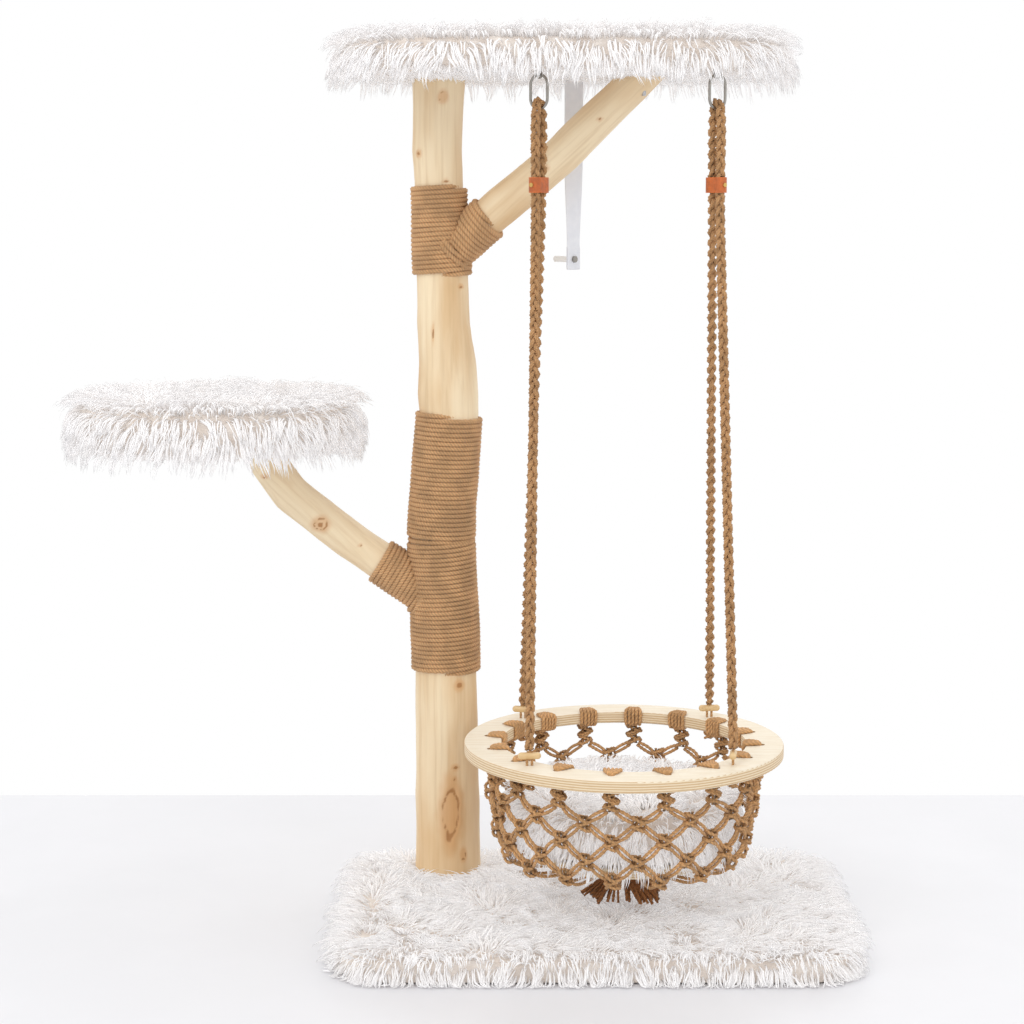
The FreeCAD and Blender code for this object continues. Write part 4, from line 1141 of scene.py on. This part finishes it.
class TREE_OT_ropes(bpy.types.Operator):
    """Plaits the two ropes that carry the basket"""

    bl_idname = "pet_tree.ropes"
    bl_label = "Plaited ropes"

    def execute(self, context):
        look = context.scene.tree_ropes
        jute = laid_cord("plaited_jute", tuple(look.colour), 4, 12, 0.019)
        for name, body in (("left_rope", "left_ropes"), ("right_rope", "right_ropes")):
            path = curved(rope_route(name), 2.6 * MM)
            stack = Stack()
            plait(stack, path, look)
            rope = piece(name + "_plait", stack.mesh(name + "_plait"), jute, body)
            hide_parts(name)
        return {"FINISHED"}


class TREE_OT_bands(bpy.types.Operator):
    """Finishes the leather bands round the ropes' legs, and their rivets"""

    bl_idname = "pet_tree.bands"
    bl_label = "Leather bands"

    def execute(self, context):
        for side in ("left", "right"):
            dress(leather(), f"{side}_leather_band")
            dress(metal("brass", tint(214, 178, 108), 0.22, 0.15), f"{side}_band_rivet")
        return {"FINISHED"}


# ---------------------------------------------------------------- basket

class Basket:
    """Places round the basket, whose rim sits askew by a small turn about its own middle."""

    def __init__(self):
        lowest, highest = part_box("basket_rim")
        middle = (lowest + highest) / 2
        self.middle = np.array((middle.x, middle.y))
        self.rim_top, self.rim_low = highest.z, lowest.z
        self.hole = 172 * MM
        self.inner = 153 * MM

    def at(self, angle, radius, height):
        """The point at an angle from the front, towards the right."""
        return np.array((self.middle[0] + radius * math.sin(angle),
                         self.middle[1] - radius * math.cos(angle), height))

    def ways(self, angle):
        """The ways outward and along the rim at an angle."""
        out = np.array((math.sin(angle), -math.cos(angle), 0.0))
        return out, np.array((math.cos(angle), math.sin(angle), 0.0))


NET_ROWS = ((189, 167.0), (164, 162.0), (138, 158.5), (113, 149.0))
STACK_LOW = 212


def ring_path(centre, side, up, out, half_side, half_out, tilt, joints=15):
    """An oval loop of cord round a knot, tilted so that one side rides up."""
    turn = np.linspace(0, 2 * math.pi, joints)[:, None]
    lean = up * math.sin(tilt) * half_side
    return (centre + np.cos(turn) * (side * half_side + lean) + np.sin(turn) * out * half_out
            + up * 0.3 * MM * np.sin(2 * turn))


def square_knot(stack, centre, side, up, out, cord, wide, deep, tall, hitches):
    """A square knot: hitches of cord laid one over another round two upright core cords."""
    for number in range(hitches):
        share = number / max(1, hitches - 1) - 0.5
        tilt = 0.46 if number % 2 else -0.46
        swell = 1 - 0.35 * abs(share)
        loop = ring_path(centre + up * share * (tall - cord), side, up, out, wide / 2 * swell,
                         deep / 2, tilt)
        strand(stack, loop, cord * 0.52, sides=8, lobes=2, dip=0.10, pitch=0.011, across=UP)
    for lean in (-1, 1):
        core = np.linspace(-0.62, 0.62, 5)[:, None] * up * tall
        core = centre + core + side * lean * cord * 0.55 + out * deep * 0.12
        strand(stack, core, cord * 0.5, sides=6, lobes=2, dip=0.1, pitch=0.011)


def bowed(start, end, bow, push, joints=11):
    """A cord from knot to knot that bows aside and a little outwards."""
    share = np.linspace(0, 1, joints)[:, None]
    return start + (end - start) * share + np.sin(math.pi * share) * bow + (
        np.sin(math.pi * share) ** 2) * push


class TREE_OT_net(bpy.types.Operator):
    """Knots the net that hangs from the rim and gathers under the floor disc"""

    bl_idname = "pet_tree.net"
    bl_label = "Knotted net"

    def execute(self, context):
        look = context.scene.tree_basket
        cord = laid_cord("net_cord", tuple(look.colour), 2, 6, 0.011)
        basket = Basket()
        step = 2 * math.pi / look.around
        upper, lower = Stack(), Stack()
        for number in range(look.around):
            angle = look.first + number * step
            self.hanger(upper, basket, angle, look.cord)
            for row in range(len(NET_ROWS)):
                turned = angle + (step / 2 if row % 2 == 0 else 0)
                self.knot_row(upper if row < 2 else lower, basket, turned, row, look)
                self.links(upper if row < 2 else lower, basket, turned, row, step, look)
            self.under(lower, basket, angle, step, look)
        for name, stack, nodes in (("net_upper_rows", upper, ["basket_net"]),
                                   ("net_lower_rows", lower, [])):
            net = piece(name, stack.mesh(name), cord, "basket")
            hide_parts(*nodes)
        return {"FINISHED"}

    @staticmethod
    def slope(row):
        """The way up the net's side at a row: inward or outward as it rises."""
        above = NET_ROWS[row - 1] if row else (STACK_LOW, 168)
        here = NET_ROWS[row]
        rise = np.array((above[1] - here[1], above[0] - here[0]), float)
        return rise / np.linalg.norm(rise)

    def hanger(self, stack, basket, angle, cord):
        """Two square knots, one over the other, under a lashing."""
        out, side = basket.ways(angle)
        wobble = 0.05 * math.sin(angle * 7)
        up = UP + out * 0.10 + side * wobble
        for height, wide in ((226, 19), (213.5, 18)):
            centre = basket.at(angle, 167.5 * MM, height * MM)
            square_knot(stack, centre, side, up, out, cord, wide * MM, 13 * MM, 14 * MM, 3)

    def knot_row(self, stack, basket, angle, row, look):
        """One knot where links meet."""
        height, radius = NET_ROWS[row]
        out, side = basket.ways(angle)
        lean, rise = self.slope(row)
        up = unit(UP * rise + out * lean)
        drift = 1.2 * MM * math.sin(angle * 5 + row)
        centre = basket.at(angle, radius * MM, height * MM) + UP * drift
        square_knot(stack, centre, side, up, np.cross(up, side), look.cord, 17 * MM, 12.5 * MM,
                    15 * MM, 3)

    def links(self, stack, basket, angle, row, step, look):
        """The two links that come down to a knot from the row above."""
        height, radius = NET_ROWS[row]
        high, wide = NET_ROWS[row - 1] if row else (STACK_LOW - 4, 166)
        for way in (-1, 1):
            start = basket.at(angle + way * step / 2, wide * MM, (high - 3) * MM)
            start = start - basket.ways(angle + way * step / 2)[1] * way * 5.5 * MM
            end = basket.at(angle, radius * MM, (height + 3) * MM)
            end = end + basket.ways(angle)[1] * way * 5.5 * MM
            out = basket.ways(angle + way * step / 4)[0]
            apart = unit(np.cross(out, end - start))
            for bow in (-1, 1):
                bend = apart * bow * (look.gap / 2 + 0.5 * MM * math.sin(angle * 9 + row + bow))
                rest = apart * bow * look.cord * 0.40
                path = bowed(start + rest, end + rest, bend - rest * 0.2, out * 2.2 * MM)
                strand(stack, path, look.cord / 2, sides=6, lobes=2, dip=0.12, pitch=0.011,
                       across=out)

    def under(self, stack, basket, angle, step, look):
        """Cords from the lowest knots, in under the floor disc to the gather."""
        height, radius = NET_ROWS[-1]
        for way in (-1, 1):
            lean = way * 0.14 * step
            points = [basket.at(angle + lean * 0.3, (radius - 1) * MM, (height - 4) * MM),
                      basket.at(angle + lean, 145 * MM, 103 * MM),
                      basket.at(angle + lean * 1.2, 124 * MM, 98 * MM),
                      basket.at(angle + lean, 75 * MM, 95 * MM),
                      basket.at(angle, 22 * MM, 91 * MM),
                      basket.at(angle, 8 * MM, 84 * MM)]
            strand(stack, curved(points, 3.2 * MM), look.cord / 2, sides=6, lobes=2, dip=0.12,
                   pitch=0.011)


class TREE_OT_lashings(bpy.types.Operator):
    """Lashes the net to the rim: a fan of cords from each hole over the rim's inner edge"""

    bl_idname = "pet_tree.lashings"
    bl_label = "Rim lashings"

    def execute(self, context):
        look = context.scene.tree_basket
        cord = laid_cord("net_cord", tuple(look.colour), 2, 6, 0.011)
        basket = Basket()
        stack = Stack()
        for number in range(look.around):
            angle = look.first + number * 2 * math.pi / look.around
            side = basket.ways(angle)[1]
            for place in range(-2, 3):
                self.turn_of_cord(stack, basket, angle, side * place * 4.7 * MM, look.cord)
        lashings = piece("rim_lashing_cords", stack.mesh("rim_lashing_cords"), cord, "basket")
        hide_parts("rim_lashings")
        return {"FINISHED"}

    @staticmethod
    def turn_of_cord(stack, basket, angle, aside, cord):
        """One cord of a lashing: out of the hole, over the inner edge and back underneath."""
        top, low = basket.rim_top + cord * 0.42, basket.rim_low - cord * 0.42
        inner = basket.inner - cord * 0.45
        points = [basket.at(angle, basket.hole - 0.5 * MM, basket.rim_top - 5 * MM),
                  basket.at(angle, basket.hole - 1 * MM, top) + aside * 0.30,
                  basket.at(angle, basket.hole - 7 * MM, top + 0.6 * MM) + aside * 0.72,
                  basket.at(angle, inner + 2.5 * MM, top + 0.4 * MM) + aside,
                  basket.at(angle, inner - 1 * MM, top - 1 * MM) + aside * 1.02,
                  basket.at(angle, inner - 0.4 * MM, basket.rim_top - 6 * MM) + aside * 1.03,
                  basket.at(angle, inner - 0.4 * MM, basket.rim_low + 4 * MM) + aside,
                  basket.at(angle, inner + 1 * MM, low) + aside * 0.95,
                  basket.at(angle, basket.hole - 8 * MM, low) + aside * 0.75,
                  basket.at(angle, basket.hole - 3 * MM, low - 1.5 * MM) + aside * 0.55]
        strand(stack, curved(points, 2.4 * MM), cord * 0.52, sides=8, lobes=2, dip=0.1,
               pitch=0.011, across=(0.3, 0.2, 1))


TOGGLES = ((-43.5, 4), (-133.5, -8), (46.5, 82), (136.5, 6))


class TREE_OT_basket_woodwork(bpy.types.Operator):
    """Finishes the rim, the floor disc and the toggles, and ties the toggles on"""

    bl_idname = "pet_tree.basket_woodwork"
    bl_label = "Rim, disc and toggles"

    def execute(self, context):
        dress(plywood(), "basket_rim", "basket_floor")
        dress(turned_wood(), "toggles")
        look = context.scene.tree_basket
        cord = laid_cord("net_cord", tuple(look.colour), 2, 6, 0.011)
        basket, stack = Basket(), Stack()
        for place, turn in TOGGLES:
            self.tie(stack, basket, math.radians(place), math.radians(turn))
        ties = piece("toggle_tie_cords", stack.mesh("toggle_tie_cords"), cord, "basket")
        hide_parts("toggle_ties")
        return {"FINISHED"}

    @staticmethod
    def tie(stack, basket, place, turn):
        """A cord over one toggle, down through the rim to a stopper knot."""
        bar = np.array((math.cos(turn), math.sin(turn), 0.0))
        half, thick = 3 * MM, 1.7 * MM
        top, low = basket.rim_top + 17.2 * MM, basket.rim_low - 8 * MM
        foot = basket.at(place, 173 * MM, 0)
        points = [foot - bar * half + UP * low, foot - bar * half + UP * (top - 4 * MM),
                  foot - bar * half + UP * top, foot + bar * half + UP * top,
                  foot + bar * half + UP * (top - 4 * MM), foot + bar * half + UP * low]
        strand(stack, curved(points, 2.2 * MM), thick, sides=8, lobes=2, dip=0.1, pitch=0.009)
        out, side = basket.ways(place)
        square_knot(stack, foot + UP * low, side, UP, out, 2 * thick, 12 * MM, 11 * MM, 10 * MM, 3)


class TREE_OT_cushion(bpy.types.Operator):
    """Fills the basket with a crowned round cushion with long pile"""

    bl_idname = "pet_tree.cushion"
    bl_label = "Basket cushion"

    def execute(self, context):
        lowest, highest = (np.array(corner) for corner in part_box("basket_cushion"))
        middle, trim = (lowest + highest)[:2] / 2, 9 * MM
        size = (highest - lowest)[:2] - 2 * trim
        slab = Slab(middle, size, size[0] / 2 - 0.1 * MM, lowest[2] + 2 * MM,
                    highest[2] - 14 * MM, edge=26 * MM)
        shape = slab.bmesh()
        pile("basket_cushion_pile", slab, shape, "basket", 54, length=0.034, parting=0.04,
             lift=1.2, spread=1.15, keep=lambda roots, normals: normals[:, 2] > -0.6)
        bmesh.ops.triangulate(shape, faces=[face for face in shape.faces if len(face.verts) > 4])
        cushion = piece("basket_cushion_pad", shape_mesh("basket_cushion_pad", shape),
                        plush_backing(), "basket")
        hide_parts("basket_cushion")
        return {"FINISHED"}


class TREE_OT_tassel(bpy.types.Operator):
    """Whips the gathered cords under the basket and fans their ends into a tassel"""

    bl_idname = "pet_tree.tassel"
    bl_label = "Gather knot and tassel"

    def execute(self, context):
        look = context.scene.tree_basket
        basket = Basket()
        low, high = (corner[2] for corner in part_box("gather_knot"))
        knot = Stack()
        for number in range(5):
            height = low + 1.5 * MM + number * 2.7 * MM
            middle = basket.at(0, 0, height)
            swell = (12.2 + 1.2 * math.sin(number * 1.3)) * MM
            loop = ring_path(middle, np.array((1.0, 0, 0)), UP, np.array((0, 1.0, 0)), swell, swell,
                             0.06 * (-1) ** number, joints=33)
            strand(knot, loop, look.cord * 0.56, sides=8, lobes=2, pitch=0.011, across=UP)
        core = np.linspace(basket.at(0, 0, low), basket.at(0, 0, high + 3 * MM), 5)
        strand(knot, core, 11 * MM, sides=12, lobes=6, dip=0.05, pitch=0.2)
        whipped = piece("gather_whipping", knot.mesh("gather_whipping"),
                        laid_cord("net_cord", tuple(look.colour), 2, 6, 0.011), "basket")
        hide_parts("gather_knot")
        ends = Stack()
        self.fan(ends, basket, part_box("tassel"))
        tassel = piece("tassel_ends", ends.mesh("tassel_ends"),
                       laid_cord("tassel_yarn", tuple(look.tassel), 2, 4, 0.012), "basket")
        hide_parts("tassel")
        return {"FINISHED"}

    @staticmethod
    def fan(stack, basket, corners):
        """Loose cord ends, each bent out and down by its own amount."""
        draw = np.random.default_rng(71)
        low, high = corners[0][2], corners[1][2]
        reach = (corners[1][0] - corners[0][0]) / 2
        for number in range(110):
            way = 1 if number % 2 else -1
            angle = way * math.pi / 2 + 0.75 * draw.normal()
            spread = (reach - 3 * MM) * draw.uniform(0.35, 1.0) ** 0.6
            drop = low - 5 * MM + (high - low) * draw.uniform(0.0, 0.40) * (spread / reach)
            bend = draw.uniform(-0.25, 0.25)
            points = [basket.at(angle, 4 * MM, high + 3 * MM),
                      basket.at(angle, 0.25 * spread + 4 * MM, high - 3 * MM),
                      basket.at(angle + bend * 0.5, 0.66 * spread, high - 0.40 * (high - drop)),
                      basket.at(angle + bend, spread, drop)]
            path = curved(points, 4.0 * MM)
            width = 2.1 * MM * draw.uniform(0.8, 1.15)
            strand(stack, path, width, sides=6, lobes=2, dip=0.15, pitch=0.012)


# ---------------------------------------------------------------- wall strap, boards, hardware

def tape(stack, path, across, width, thick):
    """Adds a flat woven tape along a path, as wide as it lies across at each point."""
    template = tube_template(len(path), 16)
    ring = np.rint(template.points[:, 2]).astype(int)
    around = np.arctan2(template.points[:, 1], template.points[:, 0])
    forward = unit(np.gradient(path, axis=0))
    wide = unit(across - forward * (across * forward).sum(axis=1, keepdims=True))
    out = np.cross(forward, wide)
    flat = np.sign(np.cos(around)) * np.abs(np.cos(around)) ** 0.3 * width / 2
    deep = np.sign(np.sin(around)) * np.abs(np.sin(around)) ** 0.6 * thick / 2
    points = path[ring] + flat[:, None] * wide[ring] + deep[:, None] * out[ring]
    lay = np.stack([flat, deep, distances(path)[ring]], axis=1)
    stack.add(template, points, lay=lay)


class TREE_OT_strap(bpy.types.Operator):
    """Sews the white wall strap: a loop round the saddle, a hanging tape and a folded end"""

    bl_idname = "pet_tree.strap"
    bl_label = "Wall strap"

    def execute(self, context):
        low, high = (np.array(corner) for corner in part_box("anchor_strap"))
        middle = (low + high) / 2
        thick, twist, reach = 1.3 * MM, math.pi / 4, 3.5 * MM
        centre = np.array((middle[0], middle[1], high[2] - 4.2 * MM))
        round_bar = np.radians(np.linspace(-55, 235, 30))
        loop = [centre + reach * np.array((0, math.cos(a), math.sin(a))) for a in round_bar]
        fold = low[2] + 30 * MM
        back = np.array((-math.sin(twist), math.cos(twist), 0))
        down = np.linspace(centre[2] - 9 * MM, fold, 40)
        run = [np.array((centre[0], centre[1] - 0.1 * MM, height)) for height in down]
        foot = np.array((centre[0], centre[1], 0.0))
        tab = [foot - back * 0.8 * MM + UP * height
               for height in np.linspace(fold - 2 * MM, low[2] + 1.6 * MM, 12)]
        tab += [foot + UP * (low[2] + 0.7 * MM)]
        tab += [foot + back * 0.8 * MM + UP * height
                for height in np.linspace(low[2] + 1.6 * MM, fold, 12)]
        lap = [np.array((centre[0], centre[1] + 1.3 * MM, centre[2] - height * MM))
               for height in (17, 14, 11, 8)]
        path = even(lap + loop + run + tab, 1.5 * MM)
        turned = twist * (1 - smoothstep(path[:, 2], fold - 4 * MM, fold + 150 * MM))
        across = np.stack([np.cos(turned), np.sin(turned), 0 * turned], axis=1)
        stack = Stack()
        tape(stack, path, across, 25 * MM - 3 * MM * turned.mean(), thick)
        strap = piece("wall_strap_tape", stack.mesh("wall_strap_tape"), webbing(), "strap")
        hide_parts("anchor_strap")
        dress(white_plastic(), "wall_plug")
        return {"FINISHED"}


class TREE_OT_boards(bpy.types.Operator):
    """Finishes the boards, the felt and the steel fittings"""

    bl_idname = "pet_tree.boards"
    bl_label = "Boards and fittings"

    def execute(self, context):
        zinc = metal("zinc_steel", tint(196, 198, 200), 0.34, 0.25)
        nickel = metal("bright_nickel", tint(158, 154, 148), 0.20, 0.18)
        dress(plywood(), "base_board", "side_shelf_board", "top_shelf_board")
        dress(felt(), "base_underlay")
        dress(zinc, "base_screws", "side_shelf_screws", "top_shelf_screws", "trunk_stud",
              "lower_branch_stud", "upper_branch_stud", "strap_saddle")
        dress(nickel, "left_screw_eye", "right_screw_eye", "left_hanger_ring",
              "right_hanger_ring", "anchor_screw")
        return {"FINISHED"}


# ---------------------------------------------------------------- stage

def pale_floor(colour):
    """A pale honed floor with a very quiet cloud in it."""
    finish = Finish("pale_floor", roughness=0.42)
    cloud = finish.noise(finish.place(), 2.2, 5, 0.6)
    finish.colour(finish.mix(finish.step(cloud, 0.35, 0.7), colour, shade(colour, 1.04)))
    finish.rough(0.36 + cloud * 0.14)
    return finish.material


def soft_light(name, place, size, power, aim=(-0.1, 0, 0.5)):
    """A square area light aimed at a point."""
    data = bpy.data.lights.new(name, "AREA")
    data.shape = "SQUARE"
    data.size = size
    data.energy = power
    light = bpy.data.objects.new(name, data)
    light.location = place
    light.rotation_euler = (Vector(aim) - Vector(place)).to_track_quat("-Z", "Y").to_euler()
    bpy.context.scene.collection.objects.link(light)


# each light's name, place and width in metres, and power in watts
LIGHTS = (
    ("key_light", (-1.6, -2.2, 2.6), 1.8, 22),
    ("fill_light", (2.2, -2.0, 1.5), 2.0, 7),
    ("top_light", (0.0, 0.3, 3.0), 2.4, 9),
    ("back_light", (0.4, 2.6, 1.9), 1.8, 6),
)


class TREE_OT_stage(bpy.types.Operator):
    """Sets out the floor, the soft studio lights and the camera"""

    bl_idname = "pet_tree.stage"
    bl_label = "Stage"

    def execute(self, context):
        look = context.scene.tree_stage
        shape = bmesh.new()
        bmesh.ops.create_grid(shape, x_segments=1, y_segments=1, size=1)
        bmesh.ops.scale(shape, vec=(2.0, 1.3, 1), verts=shape.verts[:])
        bmesh.ops.translate(shape, vec=(0, look.wall - 1.3, -0.2 * MM), verts=shape.verts[:])
        mesh = bpy.data.meshes.new("floor")
        shape.to_mesh(mesh)
        shape.free()
        floor = bpy.data.objects.new("floor", mesh)
        context.scene.collection.objects.link(floor)
        floor.data.materials.append(pale_floor(tuple(look.floor)))
        for light in LIGHTS:
            soft_light(*light)
        world = bpy.data.worlds.new("studio")
        world.use_nodes = True
        world.node_tree.nodes["Background"].inputs["Color"].default_value = (1, 1, 1, 1)
        world.node_tree.nodes["Background"].inputs["Strength"].default_value = 1.0
        context.scene.world = world
        context.scene.view_settings.view_transform = "Standard"
        camera = bpy.data.cameras.new("camera")
        camera.lens = look.lens
        camera.sensor_width = 36
        eye = bpy.data.objects.new("camera", camera)
        eye.location = look.eye
        eye.rotation_euler = (math.pi / 2 - look.pitch, 0, 0)
        context.scene.collection.objects.link(eye)
        context.scene.camera = eye
        return {"FINISHED"}


# ---------------------------------------------------------------- panel and making

MAKERS = (TREE_OT_stage, TREE_OT_ropes, TREE_OT_bands, TREE_OT_boards, TREE_OT_logs,
          TREE_OT_wraps, TREE_OT_plush, TREE_OT_basket_woodwork, TREE_OT_cushion, TREE_OT_net,
          TREE_OT_lashings, TREE_OT_tassel, TREE_OT_strap)


class TREE_PT_panel(bpy.types.Panel):
    """Lists the pieces of the pet tree and the sizes that can be changed"""

    bl_idname = "TREE_PT_panel"
    bl_label = "Pet Tree"
    bl_space_type = "VIEW_3D"
    bl_region_type = "UI"
    bl_category = "Pet Tree"

    def draw(self, context):
        for name, group in SETTINGS.items():
            box = self.layout.box()
            box.label(text=group.__doc__)
            for setting in group.__annotations__:
                box.prop(getattr(context.scene, name), setting)
        for maker in MAKERS:
            self.layout.operator(maker.bl_idname)


def register():
    """Registers the settings, the operators and the panel."""
    for name, group in SETTINGS.items():
        bpy.utils.register_class(group)
        setattr(bpy.types.Scene, name, PointerProperty(type=group))
    for listed in (*MAKERS, TREE_PT_panel):
        bpy.utils.register_class(listed)


def unregister():
    """Takes them all away again."""
    for listed in reversed((*MAKERS, TREE_PT_panel)):
        bpy.utils.unregister_class(listed)
    for name, group in SETTINGS.items():
        delattr(bpy.types.Scene, name)
        bpy.utils.unregister_class(group)


def main():
    """Makes the whole tree."""
    register()
    for maker in MAKERS:
        group, name = maker.bl_idname.split(".")
        getattr(getattr(bpy.ops, group), name)()


if __name__ == "__main__":
    main()
